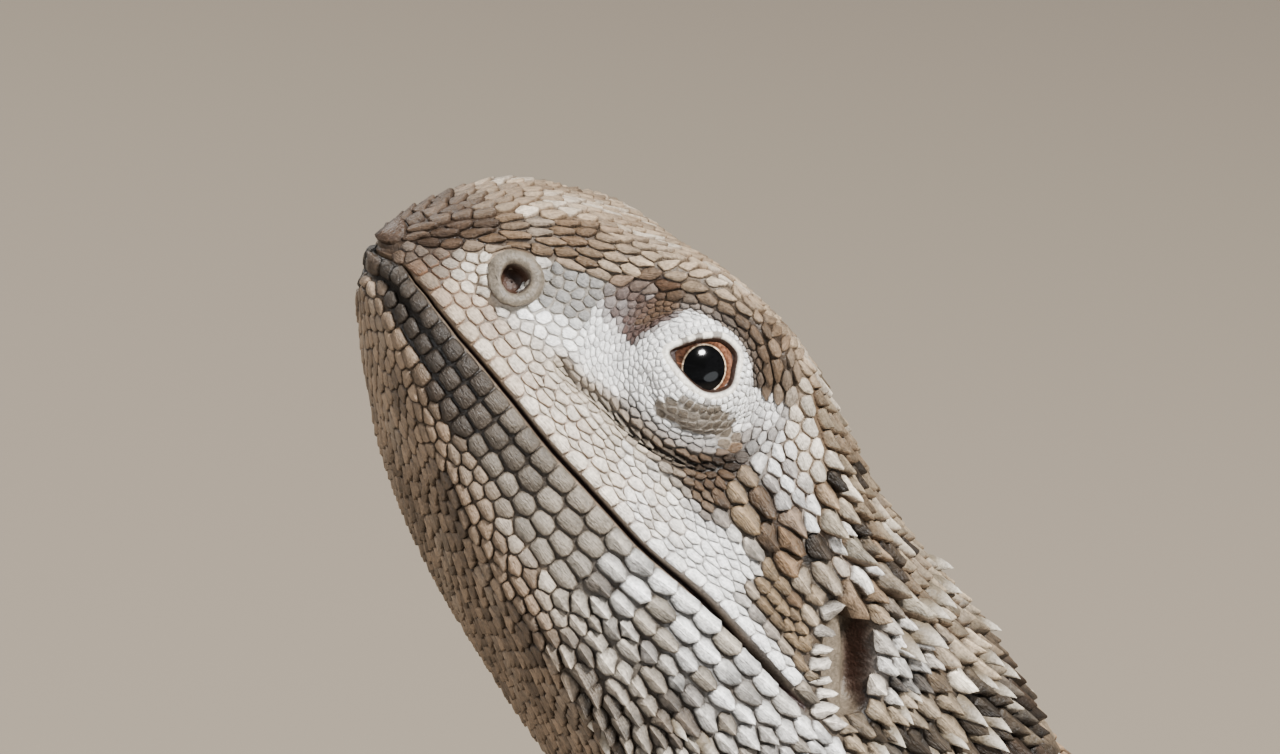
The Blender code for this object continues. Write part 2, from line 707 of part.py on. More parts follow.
def build_eyes(material):
    for side, word in ((1, "left"), (-1, "right")):
        aim = facing(mirrored(EYE_AIM, side))
        head_ball(f"eye_{word}", mirrored(EYE_CENTRE, side), aim, (EYE_RADIUS,) * 3, 18, 11, material)


def build_body(skin):
    root = TAIL_STATIONS
    parts = np.linspace(0, root, TAIL_PARTS + 1)
    for number in range(TAIL_PARTS):
        low, high = parts[TAIL_PARTS - 1 - number], parts[TAIL_PARTS - number]
        ends = (low == 0, False)
        piece = column_piece(f"tail_{number + 1}", low, high, 16, 6, skin, ends)
        if number == 0:
            add_spines(piece, column_section, TAIL_ROWS)
        flattened(piece)
    middle = root + TRUNK_PARTING
    rear = column_piece("torso_rear", root, middle, RING_POINTS, 11, skin)
    flattened(add_spines(rear, column_section, BELLY_ROWS))
    front = column_piece("torso_front", middle, TRUNK_END, RING_POINTS, 9, skin)
    add_spines(front, column_section, CHEST_ROWS)


def build_legs(skin, horn):
    for side, word in ((1, "left"), (-1, "right")):
        names = [f"upper_arm_{word}", f"forearm_{word}", f"hand_{word}"]
        build_leg(names, FORELEG, side, RIGHT_FOREFOOT_SHIFT, FINGER_HEADING, FINGERS, skin, horn)
        names = [f"thigh_{word}", f"shank_{word}", f"foot_{word}"]
        build_leg(names, HIND_LEG, side, RIGHT_HINDFOOT_SHIFT, TOE_HEADING, TOES, skin, horn)


def main():
    skin = plain_material("scaly_skin", (0.55, 0.47, 0.37), 0.6)
    horn = plain_material("claw_horn", (0.12, 0.09, 0.07), 0.35)
    eye = plain_material("eye_wet", (0.03, 0.02, 0.015), 0.08)
    build_head(skin)
    build_jaw(skin)
    build_neck(skin)
    build_body(skin)
    build_legs(skin, horn)
    build_eyes(eye)


for old in list(bpy.data.objects):
    bpy.data.objects.remove(old, do_unlink=True)
model = bpy.data.collections.new("bearded_dragon")
bpy.context.scene.collection.children.link(model)
main()
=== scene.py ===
"""A bearded dragon, life size: one sculpted skin, coats of scales and spines over it, eyes and claws.

Lengths are in millimetres, as in the part's source, and become metres only when a mesh is made.
The head's own frame has a running back from the snout tip, y to the left and z up. The skin's own
coordinates are s, the way back from the snout tip, and c, the section's corner counted from the crown
round the left side; sixteen corners go round.
"""

import math

import bmesh
import bpy
import numpy as np
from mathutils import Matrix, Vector
from mathutils.bvhtree import BVHTree
from mathutils.kdtree import KDTree


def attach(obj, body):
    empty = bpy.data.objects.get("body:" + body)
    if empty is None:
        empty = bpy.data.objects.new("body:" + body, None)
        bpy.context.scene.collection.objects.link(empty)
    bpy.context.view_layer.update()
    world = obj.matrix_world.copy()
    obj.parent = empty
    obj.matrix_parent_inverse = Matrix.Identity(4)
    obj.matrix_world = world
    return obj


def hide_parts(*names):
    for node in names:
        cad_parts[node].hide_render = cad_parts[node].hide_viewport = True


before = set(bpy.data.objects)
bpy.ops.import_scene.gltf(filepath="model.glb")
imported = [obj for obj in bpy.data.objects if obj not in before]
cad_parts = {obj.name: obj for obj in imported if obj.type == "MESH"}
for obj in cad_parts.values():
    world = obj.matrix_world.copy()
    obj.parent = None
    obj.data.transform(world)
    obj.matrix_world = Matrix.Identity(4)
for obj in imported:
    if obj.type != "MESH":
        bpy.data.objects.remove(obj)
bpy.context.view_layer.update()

MM = 0.001
CORNERS = 16
random = np.random.default_rng(7)

# The same form as the solids.

HEAD_LENGTH = 42.0
HEAD_PITCH = math.radians(50.2)
NAPE = np.array([73.0, 0.0, 71.0])
# Distances behind the snout at which the head's profiles are given: widths from the middle, and heights.
HEAD_STATIONS = (0, 1.2, 4.5, 9, 14, 20, 27, 34, 42)


def profile(*values):
    return list(zip(HEAD_STATIONS, values))


CROWN_HEIGHT = profile(1.8, 5.5, 10.1, 12.9, 14.9, 15.7, 14.8, 13.4, 13.0)
CROWN_EDGE = profile(0, 1.9, 3.3, 4.6, 6.6, 7.6, 7.4, 7.2, 7.6)
CROWN_EDGE_HEIGHT = profile(1.7, 5.2, 9.8, 12.7, 15.0, 15.6, 14.4, 12.9, 12.3)
BROW_WIDTH = profile(0, 2.4, 4.5, 7.3, 10.6, 12.2, 12.1, 11.9, 12.4)
BROW_HEIGHT = profile(1.3, 4.2, 8.5, 11.8, 14.0, 14.0, 12.0, 10.2, 9.2)
SIDE_WIDTH = profile(0, 2.8, 5.2, 7.3, 9.3, 11.2, 13.4, 14.2, 14.2)
SIDE_HEIGHT = profile(0.9, 2.6, 5.6, 8.0, 9.6, 9.6, 8.0, 6.2, 5.2)
CHEEK_WIDTH = profile(0, 3.1, 5.8, 8.0, 9.9, 11.8, 13.8, 14.8, 15.0)
CHEEK_HEIGHT = profile(0.5, 1.4, 2.6, 3.4, 3.8, 4.0, 3.8, 3.0, 2.4)
LIP_WIDTH = profile(0, 3.3, 6.2, 8.5, 10.4, 12.4, 14.4, 15.7, 15.8)
MOUTH_HEIGHT = [(0, 0), (4.5, -0.3), (9, -0.6), (14, -1.0), (20, -0.9), (27, 0.1), (34, 0.3), (42, -0.2)]
JAW_WIDTH = profile(0, 2.8, 5.6, 8.0, 10.0, 12.4, 15.2, 17.0, 16.8)
JAW_HEIGHT = profile(-0.6, -1.6, -2.6, -3.7, -4.6, -5.0, -4.6, -4.2, -4.6)
CHIN_WIDTH = profile(0, 1.8, 3.7, 5.6, 7.5, 9.8, 12.2, 13.8, 13.8)
CHIN_HEIGHT = profile(-1.0, -2.3, -3.8, -5.8, -7.7, -9.3, -10.4, -11, -11.2)
THROAT_HEIGHT = profile(-1.2, -2.6, -4.3, -6.6, -8.8, -10.7, -12.2, -13.2, -13.8)
# The half section's corners from the crown to the throat, as (width, height).
HEAD_PROFILES = [
    (None, CROWN_HEIGHT),
    (CROWN_EDGE, CROWN_EDGE_HEIGHT),
    (BROW_WIDTH, BROW_HEIGHT),
    (SIDE_WIDTH, SIDE_HEIGHT),
    (CHEEK_WIDTH, CHEEK_HEIGHT),
    (LIP_WIDTH, MOUTH_HEIGHT),
    (JAW_WIDTH, JAW_HEIGHT),
    (CHIN_WIDTH, CHIN_HEIGHT),
    (None, THROAT_HEIGHT),
]
# The corner at which the mouth lies.
MOUTH = 5.0

EYE_RADIUS = 4.6
EYE_CENTRE = np.array((16.9, 7.3, 9.0))
EYE_AIM = (-0.27, 0.94, 0.20)
EYE_ROLL = math.radians(30)
NOSTRIL_CENTRE = np.array((5.25, 5.6, 5.15))
NOSTRIL_AIM = (-0.35, 0.9, 0.25)
EAR_CENTRE = np.array((35.8, 14.4, 4.0))
EAR_LONG = np.array((0.74, 0, -0.67))
EAR_WIDE = np.cross(EAR_LONG, (0, 1, 0))

# The trunk's stations from the rear: (along, aside, height of the middle, half width, above, below).
SPINE = [
    (-52, 0, 10.6, 12.5, 9.5, 10.2),
    (-40, 0, 12.5, 20.0, 11.5, 13.0),
    (-18, 0, 14.6, 27.0, 13.2, 15.2),
    (8, 0, 16.6, 30.0, 14.8, 16.4),
    (32, 0, 27.5, 26.0, 14.8, 15.8),
    (50, 0, 42.5, 20.5, 13.2, 14.4),
    (60, 0, 54.0, 16.5, 12.2, 13.2),
]
TAIL_LENGTH = 226.0
TAIL_ROOT_WIDTH = 12.5
TAIL_TIP_WIDTH = 1.1
TAIL_SWAY = 40.0
TAIL_TURN = 2.6
TAIL_STATIONS = 8
TAIL_TAPER = 1.35
TAIL_HEIGHT = 0.76
TAIL_DEPTH = 0.8
SINK = 0.3
# The legs' stations on the left, as (along, aside, height, half width, half depth), and the foot's
# sections, as (way ahead of the ankle, half width, height).
FORELEG = [
    (47, 9, 40, 7.4, 7.4),
    (44, 25, 35, 6.6, 6.2),
    (38, 38, 27, 4.9, 4.6),
    (45, 43, 15.5, 4.9, 4.2),
    (54, 44, 3.4, 3.0, 2.7),
]
HIND_LEG = [
    (-40, 8, 12.5, 9.0, 8.0),
    (-31, 28, 14.5, 8.4, 7.4),
    (-18, 45, 15.5, 5.6, 5.4),
    (-29, 55, 10.5, 5.8, 4.8),
    (-41, 61, 3.6, 3.3, 3.0),
]
FOOT = [
    (-3.4, 1.3, 1.2),
    (-2.2, 2.7, 2.4),
    (0.5, 3.4, 3.0),
    (4.0, 3.9, 2.6),
    (7.0, 4.5, 2.2),
    (9.0, 4.3, 1.8),
]
# The digits, as (turn from the heading in degrees, length, place aside), and their sections, as
# (share of the length, share of the radius, height).
FINGERS = [(-50, 6.5, -3.0), (-24, 9.5, -1.8), (0, 11.5, 0.0), (24, 11.5, 1.8), (56, 8.0, 3.0)]
TOES = [(-46, 6.0, -3.0), (-24, 9.5, -1.9), (-6, 13.5, -0.4), (10, 18.0, 1.4), (52, 9.0, 2.8)]
FINGER_HEADING = 14.0
TOE_HEADING = 42.0
DIGIT_RADIUS = 1.6
DIGIT = [(-0.12, 1.0, 1.4), (0.35, 0.92, 1.7), (0.7, 0.8, 1.05), (1.0, 0.64, 0.9)]
CLAW_LENGTH = 4.4
CLAW_RADIUS = 0.72
GAP = 0.3
RIGHT_FOREFOOT_SHIFT = np.array([-7.0, 1.5, 0.0])
RIGHT_HINDFOOT_SHIFT = np.array([9.0, -2.0, 0.0])


def unit(v):
    v = np.asarray(v, float)
    return v / np.maximum(np.linalg.norm(v, axis=-1, keepdims=True), 1e-9)


def steered_between(start, leaving, stop, arriving, u):
    """A curve from start to stop at shares u, with its speeds at both ends."""
    first = (1 + 2 * u) * (1 - u) ** 2 * start + u * (1 - u) ** 2 * leaving
    return first + u * u * (3 - 2 * u) * stop + u * u * (u - 1) * arriving


def eased(table, at, power=0.5):
    """A profile's value at a distance: a smooth curve through its pairs that never swings past them."""
    xs = np.array([p[0] for p in table], float) ** power
    ys = np.array([p[1] for p in table], float)
    x = np.clip(np.asarray(at, float), 0, None) ** power
    steps = np.diff(xs)
    slopes = np.diff(ys) / steps
    tangents = np.zeros(len(xs))
    both = slopes[:-1] * slopes[1:] > 0
    mean = np.zeros(len(slopes) - 1)
    mean[both] = 2 / (1 / slopes[:-1][both] + 1 / slopes[1:][both])
    tangents[1:-1] = mean
    tangents[0], tangents[-1] = slopes[0], slopes[-1]
    i = np.clip(np.searchsorted(xs, x, side="right") - 1, 0, len(steps) - 1)
    h = steps[i]
    u = np.clip((x - xs[i]) / h, 0, 1)
    return steered_between(ys[i], h * tangents[i], ys[i + 1], h * tangents[i + 1], u)


def curve_between(p0, p1, p2, p3, f):
    """The curve between p1 and p2 at a share f, steered by their neighbours."""
    bend = 2 * p0 - 5 * p1 + 4 * p2 - p3
    twist = 3 * p1 - 3 * p2 + p3 - p0
    return 0.5 * (2 * p1 + (p2 - p0) * f + bend * f**2 + twist * f**3)


def round_section(corners, c):
    """Points at places c on closed sections; corners has one section's corner points for each place."""
    i = np.floor(c).astype(int)
    row = np.arange(len(c))
    p = [corners[row, (i + k) % CORNERS] for k in (-1, 0, 1, 2)]
    return curve_between(*p, (c - i)[:, None])


def through(points, u):
    """A smooth curve through points, at positions u counted in points."""
    p = np.asarray(points, float)
    p = np.vstack([2 * p[0] - p[1], p, 2 * p[-1] - p[-2]])
    u = np.clip(np.atleast_1d(u), 0, len(points) - 1)
    i = np.minimum(np.floor(u).astype(int), len(points) - 2)
    return curve_between(p[i], p[i + 1], p[i + 2], p[i + 3], (u - i)[:, None])


def head_local(a, c):
    left = []
    for width, height in HEAD_PROFILES:
        y = np.zeros(len(a)) if width is None else eased(width, a)
        left.append(np.column_stack([y, eased(height, a)]))
    right = [p * (-1, 1) for p in left[-2:0:-1]]
    return np.column_stack([a, round_section(np.stack(left + right, 1), c)])


def head_to_world(p):
    p = np.asarray(p, float).reshape(-1, 3)
    c, s = math.cos(HEAD_PITCH), math.sin(HEAD_PITCH)
    ahead = HEAD_LENGTH - p[:, 0]
    return NAPE + np.column_stack([ahead * c - p[:, 2] * s, p[:, 1], ahead * s + p[:, 2] * c])


def world_to_head(p):
    d = np.asarray(p, float).reshape(-1, 3) - NAPE
    c, s = math.cos(HEAD_PITCH), math.sin(HEAD_PITCH)
    ahead = d[:, 0] * c + d[:, 2] * s
    return np.column_stack([HEAD_LENGTH - ahead, d[:, 1], d[:, 2] * c - d[:, 0] * s])


def head_direction(vectors):
    return head_to_world(vectors) - head_to_world([(0, 0, 0)])


def column_stations():
    """The tail's stations from its tip to its root, then the trunk's."""
    stations = []
    for k in range(TAIL_STATIONS, 0, -1):
        share = k / TAIL_STATIONS
        width = TAIL_TIP_WIDTH + (TAIL_ROOT_WIDTH - TAIL_TIP_WIDTH) * (1 - share) ** TAIL_TAPER
        below = TAIL_DEPTH * width
        along = SPINE[0][0] - TAIL_LENGTH * share
        sway = TAIL_SWAY * math.sin(TAIL_TURN * share) * share
        stations.append((along, sway, below - SINK, width, TAIL_HEIGHT * width, below))
    return np.array(stations + SPINE, float)


STATIONS = column_stations()
TRUNK_END = len(STATIONS) - 1


def column_point(u, c):
    """Points of the tail and trunk at positions u counted in stations."""
    step = 0.01
    here = through(STATIONS, u)
    ahead = through(STATIONS, np.minimum(u + step, TRUNK_END))[:, :3]
    behind = through(STATIONS, np.maximum(u - step, 0))[:, :3]
    forward = unit(ahead - behind)
    left = unit(np.cross((0, 0, 1), forward))
    up = np.cross(forward, left)
    shares = [(0, 1), (0.42, 0.94), (0.72, 0.75), (0.92, 0.42), (1, 0.06)]
    under = [(0.97, 0.3), (0.83, 0.64), (0.5, 0.91), (0, 1)]
    width, above, below = here[:, 3:4], here[:, 4:5], here[:, 5:6]
    corners = [np.hstack([y * width, z * above]) for y, z in shares]
    corners += [np.hstack([y * width, -z * below]) for y, z in under]
    corners += [p * (-1, 1) for p in corners[-2:0:-1]]
    flat = round_section(np.stack(corners, 1), c)
    return here[:, :3] + flat[:, :1] * left + flat[:, 1:] * up


def neck_point(v, c):
    """Points of the neck, from the trunk's end at v 0 to the back of the head at v 1."""
    every = np.arange(0, CORNERS, 0.5)
    root = column_point(np.full(len(c), TRUNK_END), c)
    nape = head_to_world(head_local(np.full(len(c), HEAD_LENGTH), c))
    root_mid = column_point(np.full(len(every), TRUNK_END), every).mean(0)
    inner_mid = column_point(np.full(len(every), TRUNK_END - 0.02), every).mean(0)
    nape_mid = head_to_world(head_local(np.full(len(every), HEAD_LENGTH), every)).mean(0)
    reach = np.linalg.norm(nape_mid - root_mid)
    out = unit(root_mid - inner_mid) * reach
    into = unit(head_direction([(-1, 0, 0)])[0]) * reach
    return steered_between(root, out, nape, into, v[:, None])


def facing(direction, roll=0.0):
    """Along a direction on the left side, across it towards the snout, and upright."""
    ahead = unit(direction)
    across = unit(np.cross((0, 0, 1), ahead))
    upright = np.cross(ahead, across)
    c, s = math.cos(roll), math.sin(roll)
    return ahead, across * c - upright * s, upright * c + across * s


EYE_OUT, EYE_SNOUTWARD, EYE_UP = facing(EYE_AIM, EYE_ROLL)
NOSTRIL_OUT, NOSTRIL_SNOUTWARD, NOSTRIL_UP = facing(NOSTRIL_AIM)

# The head's and neck's skin.

COAT = 0.3
HEAD_STEP = 0.34
NECK_STEP = 0.7
NECK_SPAN = 30.0
NECK_END = 0.3
ROUND_STEPS = 288
MOUTH_EXTRA = 0.022

LID_RADIUS = 4.95
LID_BLEND = 0.7
# The lids' opening and the folds round it, in the eye's own frame: (towards the snout, up).
EYE_OPENING = [
    (2.48, 0.20), (1.75, 0.86), (0.88, 1.39), (-0.46, 1.76), (-1.58, 1.23),
    (-1.71, 0.30), (-1.68, -0.79), (-0.86, -1.43), (0.02, -1.55), (1.01, -1.17), (1.87, -0.55),
]
PUPIL_AT = (0.20, -0.24)
LID_FOLD = [
    (4.05, 1.45), (3.47, 2.38), (2.78, 2.89), (1.57, 3.31), (0.25, 3.11), (-1.20, 2.54), (-2.51, 1.56),
    (-3.20, 0.70), (-3.75, -0.40),
]
LOWER_FOLD = [(3.3, -1.6), (2.2, -3.1), (0.6, -3.9), (-1.2, -4.1), (-2.9, -3.4), (-3.7, -2.2)]
FOLD_DEPTH = 0.42
LOWER_FOLD_DEPTH = 0.3
# The soft pouch under the eye, and the raised margin of the lids.
POUCH_PLACE = (-0.04, -2.75)
POUCH_HEIGHT = 0.16
MARGIN_HEIGHT = 0.12
# The fold that runs under the eye, as (s, c); its crease is darkened with painted shade.
CHEEK_FOLD = [
    (10.3, 4.08), (11.6, 4.14), (13.2, 4.08), (15.4, 4.08), (17.0, 4.03), (18.6, 3.92), (20.3, 3.75),
    (21.6, 3.47), (22.0, 3.03),
]
CHEEK_FOLD_DEPTH = 0.6
CHEEK_FOLD_LIP = 0.2
EAR_OPENING = (2.0, 3.7)
EAR_DEPTH = 2.3
EAR_RIM = 0.35
# How far the skin's mouth runs above the solids', round the section, by distance behind the snout.
MOUTH_RISE = [
    (0, 1.0), (0.5, 1.0), (1.5, 0.62), (3.1, 0.38), (5, 0.25), (9, 0.18), (16, 0.13), (21, 0.07),
    (26, 0), (32, -0.08), (35, -0.08), (42, 0),
]
SNOUT_FULLER = 0.3
CHIN_LEANER = 0.8
JAW_LEANER = 0.35
MOUTH_DEPTH = [(0, 0.35), (2, 0.5), (8, 0.6), (22, 0.9), (32, 1.4), (34.4, 0.5), (35.4, 0)]
MOUTH_HALF_WIDTH = [(0, 0.08), (8, 0.1), (21, 0.12), (25, 0.19), (31, 0.22), (35, 0.13), (42, 0.05)]
MOUTH_CORNER = 35.4
LIP_RISE = 0.16


def smooth_max(a, b, k):
    return 0.5 * (a + b + np.sqrt((a - b) ** 2 + k * k))


def ramp(x, low, high):
    """0 below low, 1 above high and smooth between, also where high is the lower."""
    t = np.clip((np.asarray(x, float) - low) / (high - low), 0, 1)
    return t * t * (3 - 2 * t)


def bump(distance, width):
    """1 at no distance, and fading smoothly over a width."""
    return np.exp(-((distance / width) ** 2))


def pairs(table, at):
    return np.interp(at, [p[0] for p in table], [p[1] for p in table])


def smooth_line(points, count):
    return through(points, np.linspace(0, len(points) - 1, count))


def smooth_loop(points, count):
    p = np.asarray(points, float)
    n = len(p)
    u = np.linspace(0, n, count, endpoint=False)
    i = np.floor(u).astype(int)
    return curve_between(p[(i - 1) % n], p[i % n], p[(i + 1) % n], p[(i + 2) % n], (u - i)[:, None])


def line_distance(p, line):
    """How far each point is from a line of points, in any number of dimensions."""
    best = np.full(len(p), 1e9)
    for a, b in zip(line, line[1:]):
        e = b - a
        t = np.clip(((p - a) @ e) / (e @ e), 0, 1)
        best = np.minimum(best, np.linalg.norm(p - a - t[:, None] * e, axis=1))
    return best


def loop_distance(p, loop):
    """Signed distance from a closed outline in two dimensions, below nought inside."""
    inside = np.zeros(len(p), bool)
    closed = np.vstack([loop, loop[:1]])
    for a, b in zip(closed, closed[1:]):
        crosses = (a[1] > p[:, 1]) != (b[1] > p[:, 1])
        slope = (b[0] - a[0]) / (b[1] - a[1] if b[1] != a[1] else 1e-9)
        inside ^= crosses & (p[:, 0] < a[0] + (p[:, 1] - a[1]) * slope)
    d = line_distance(p, closed)
    return np.where(inside, -d, d)


EYE_LOOP = smooth_loop(EYE_OPENING, 66)


def head_rows():
    """Distances behind the snout at even steps along the lip."""
    a = np.linspace(0, 1, 4000) ** 2 * HEAD_LENGTH
    lip = np.column_stack([a, eased(LIP_WIDTH, a)])
    walked = np.concatenate([[0], np.cumsum(np.linalg.norm(np.diff(lip, axis=0), axis=1))])
    return np.interp(np.arange(0, walked[-1], HEAD_STEP), walked, a)


def around_columns():
    """Places round the section, with two more beside each mouth line so that its groove is crisp."""
    c = np.arange(ROUND_STEPS) * CORNERS / ROUND_STEPS
    extra = [m + d for m in (MOUTH, CORNERS - MOUTH) for d in (-MOUTH_EXTRA, MOUTH_EXTRA)]
    return np.sort(np.concatenate([c, extra]))


NECK_ROWS = np.arange(HEAD_LENGTH, HEAD_LENGTH + NECK_SPAN * (1 - NECK_END), NECK_STEP)
ROWS = np.concatenate([head_rows(), NECK_ROWS])
COLUMNS = around_columns()


def half_section(c):
    c = np.asarray(c) % CORNERS
    return np.minimum(c, CORNERS - c)


def on_side(c, side):
    """A place round the section, or its like on the right side."""
    return c if side > 0 else CORNERS - c


def solid_place(s, c):
    """Where the skin's place round the section lies on the solids' head."""
    half = half_section(c)
    rise = pairs(MOUTH_RISE, s) * ramp(half, 2.9, 4.9) * ramp(half, 8.0, 5.1)
    return c - rise * np.where(c < CORNERS / 2, 1, -1)


def skin_point(s, c):
    """Points of the solids' head and neck at the skin's own coordinates."""
    out = np.empty((len(s), 3))
    head = s <= HEAD_LENGTH
    out[head] = head_to_world(head_local(s[head], solid_place(s[head], c[head])))
    out[~head] = neck_point(1 - (s[~head] - HEAD_LENGTH) / NECK_SPAN, c[~head])
    return out


def grid_normals(grid):
    """The outward direction at each point of a grid of rows along and columns round."""
    along = np.gradient(grid, axis=0)
    around = np.roll(grid, -1, 1) - np.roll(grid, 1, 1)
    return unit(np.cross(around, along))


def eye_xy(p, side):
    """Places in the eye's own frame, how far they are from its centre and how far in front of it."""
    d = (p - EYE_CENTRE * (1, side, 1)) * (1, side, 1)
    return np.column_stack([d @ EYE_SNOUTWARD, d @ EYE_UP]), np.linalg.norm(d, axis=1), d @ EYE_OUT


def on_eye(xy, r, side):
    """Points in the object's frame from places in the eye's own frame, so far from the eye's centre."""
    depth = np.sqrt(r * r - (xy**2).sum(1))
    local = EYE_CENTRE + xy[:, :1] * EYE_SNOUTWARD + xy[:, 1:] * EYE_UP + depth[:, None] * EYE_OUT
    return head_to_world(local * (1, side, 1))


def outward(loop, along):
    """Directions out of a closed outline, from the directions along it."""
    out = unit(np.column_stack([along[:, 1], -along[:, 0]]))
    return out if loop_distance(loop + out * 0.1, loop).mean() > 0 else -out


def sculpt_eye(p, side):
    centre = EYE_CENTRE * (1, side, 1)
    xy, r, front = eye_xy(p, side)
    near = (r < 9.5) & (front > -1)
    away = unit(p - centre)
    grown = np.where(near, smooth_max(r, LID_RADIUS, LID_BLEND) - (LID_BLEND / 2) ** 2 / 4, r)
    close = near & (front > 0)
    xy = xy[close] * (LID_RADIUS / np.maximum(r[close], 1))[:, None]
    fold = bump(line_distance(xy, smooth_line(LID_FOLD, 24)), 0.26)
    lower = bump(line_distance(xy, smooth_line(LOWER_FOLD, 24)), 0.3)
    pouch = bump(np.hypot(xy[:, 0] - POUCH_PLACE[0], (xy[:, 1] - POUCH_PLACE[1]) * 1.35), 1.5)
    gap = loop_distance(xy, EYE_LOOP)
    margin = bump(gap - 0.35, 0.3)
    lids = grown[close] - FOLD_DEPTH * fold - LOWER_FOLD_DEPTH * lower
    lids = lids + POUCH_HEIGHT * pouch + MARGIN_HEIGHT * margin
    grown[close] = lids + (EYE_RADIUS - 0.45 - lids) * ramp(gap, 0.12, -0.3)
    return centre + away * grown[:, None]


def sculpt_nostril(p, n, side):
    mirror = (1, side, 1)
    d = (p - NOSTRIL_CENTRE * mirror) * mirror
    x, y, front = d @ NOSTRIL_SNOUTWARD, d @ NOSTRIL_UP, d @ NOSTRIL_OUT
    r = np.hypot(x, y)
    mound = 0.35 * ramp(r, 2.3, 1.5) - 2.6 * ramp(np.hypot(x / 0.95, y / 1.05), 0.95, 0.6)
    moat = -0.25 * bump(r - 2.15, 0.3)
    return p + n * np.where(front > -3, mound + moat, 0)[:, None]


def ear_xy(p, side):
    """Places across and along the ear, their reach in shares of its opening, and their way out."""
    mirror = (1, side, 1)
    d = (p - EAR_CENTRE * mirror) * mirror
    xy = np.column_stack([d @ EAR_WIDE, d @ EAR_LONG])
    return xy, np.hypot(*(xy / EAR_OPENING).T), d[:, 1]


def sculpt_ear(p, n, side):
    xy, reach, out = ear_xy(p, side)
    depth = EAR_DEPTH * ramp(reach, 1.05, 0.8) * (0.25 + 0.75 * ramp(xy[:, 0], -0.4, 1.1))
    rim = EAR_RIM * bump(reach - 1.35, 0.25)
    return p + n * np.where(out > -6, rim - depth, 0)[:, None]


def sculpt_cheek(p, n, plain, side):
    s, c = smooth_line(CHEEK_FOLD, 50).T
    d = line_distance(plain, head_local(s, solid_place(s, c)) * (1, side, 1))
    ending = ramp(plain[:, 0], 22.0, 20.0)
    depth = CHEEK_FOLD_DEPTH * bump(d, 0.34) - CHEEK_FOLD_LIP * bump(d - 0.95, 0.45)
    return p - n * (depth * ending)[:, None]


def sculpted_head():
    """The grid of skin points in the object's frame, with the plain sections' outward directions."""
    s, c = np.meshgrid(ROWS, COLUMNS, indexing="ij")
    world = skin_point(s.ravel(), c.ravel()).reshape(*s.shape, 3)
    normals = grid_normals(world)
    local = world_to_head(world.reshape(-1, 3))
    local_n = world_to_head(world.reshape(-1, 3) + normals.reshape(-1, 3)) - local
    half, behind = half_section(c.ravel()), s.ravel()
    tuck = 0.6 * ramp(behind, ROWS[-1] - 4, ROWS[-1])
    fuller = SNOUT_FULLER * ramp(half, 3.4, 2.4) * ramp(behind, 13, 4)
    leaner = CHIN_LEANER * ramp(behind, 7, 1) + JAW_LEANER * ramp(behind, 38, 28) * ramp(behind, 1, 7)
    p = local - local_n * (COAT + tuck - fuller + leaner * ramp(half, 5.2, 6.2))[:, None]
    for side in (1, -1):
        p = sculpt_cheek(p, local_n, local, side)
        p = sculpt_eye(p, side)
        p = sculpt_nostril(p, local_n, side)
        p = sculpt_ear(p, local_n, side)
    for mouth in (MOUTH, CORNERS - MOUTH):
        there = head_local(np.clip(behind, 0, HEAD_LENGTH), solid_place(behind, np.full(s.size, mouth)))
        d = np.linalg.norm(local - there, axis=1)
        wide = pairs(MOUTH_HALF_WIDTH, behind)
        groove = pairs(MOUTH_DEPTH, behind) * bump(d, wide) * (behind < MOUTH_CORNER)
        lips = LIP_RISE * bump(d - 0.75, 0.5) * ramp(behind, MOUTH_CORNER - 1, MOUTH_CORNER - 5)
        p -= local_n * (groove - lips)[:, None]
    grid = head_to_world(p).reshape(world.shape)
    # The first row closes the snout: its left and right halves lie on one line.
    other_side = -np.arange(len(COLUMNS)) % len(COLUMNS)
    grid[0] = (grid[1] + grid[1][other_side]) / 2
    return grid, normals


class Surface:
    """A mesh in millimetres to stand scales on."""

    def __init__(self, points, faces):
        self.points = np.asarray(points, float)
        self.faces = faces
        self.tree = BVHTree.FromPolygons(self.points.tolist(), faces, all_triangles=False)
        width = max(len(f) for f in faces)
        # A triangle's last corner counts twice, so that every face has as many.
        padded = np.array([tuple(f) + (f[-1],) * (width - len(f)) for f in faces])
        self.padded = padded
        a, b, c = (self.points[padded[:, k]] for k in (0, 1, 2))
        d = self.points[padded[:, -1]]
        normals = np.cross(c - a, d - b)
        self.areas = np.linalg.norm(normals, axis=1) / 2
        vertex = np.zeros_like(self.points)
        for k in range(width):
            np.add.at(vertex, padded[:, k], normals)
        self.vertex_normals = unit(vertex)

    def nearest(self, points):
        find = self.tree.find_nearest
        hits = [find(p) for p in np.asarray(points, float).tolist()]
        place = np.array([h[0] for h in hits])
        face = np.array([h[2] for h in hits])
        return place, unit(self.vertex_normals[self.padded[face]].sum(1)), face


def grid_faces(rows, columns, closed=True):
    faces = []
    for i in range(rows - 1):
        for j in range(columns if closed else columns - 1):
            k = (j + 1) % columns
            here, onward = i * columns, (i + 1) * columns
            faces.append((here + j, here + k, onward + k, onward + j))
    return faces


head_grid, head_out = sculpted_head()
head_surface = Surface(head_grid.reshape(-1, 3), grid_faces(len(ROWS), len(COLUMNS)))


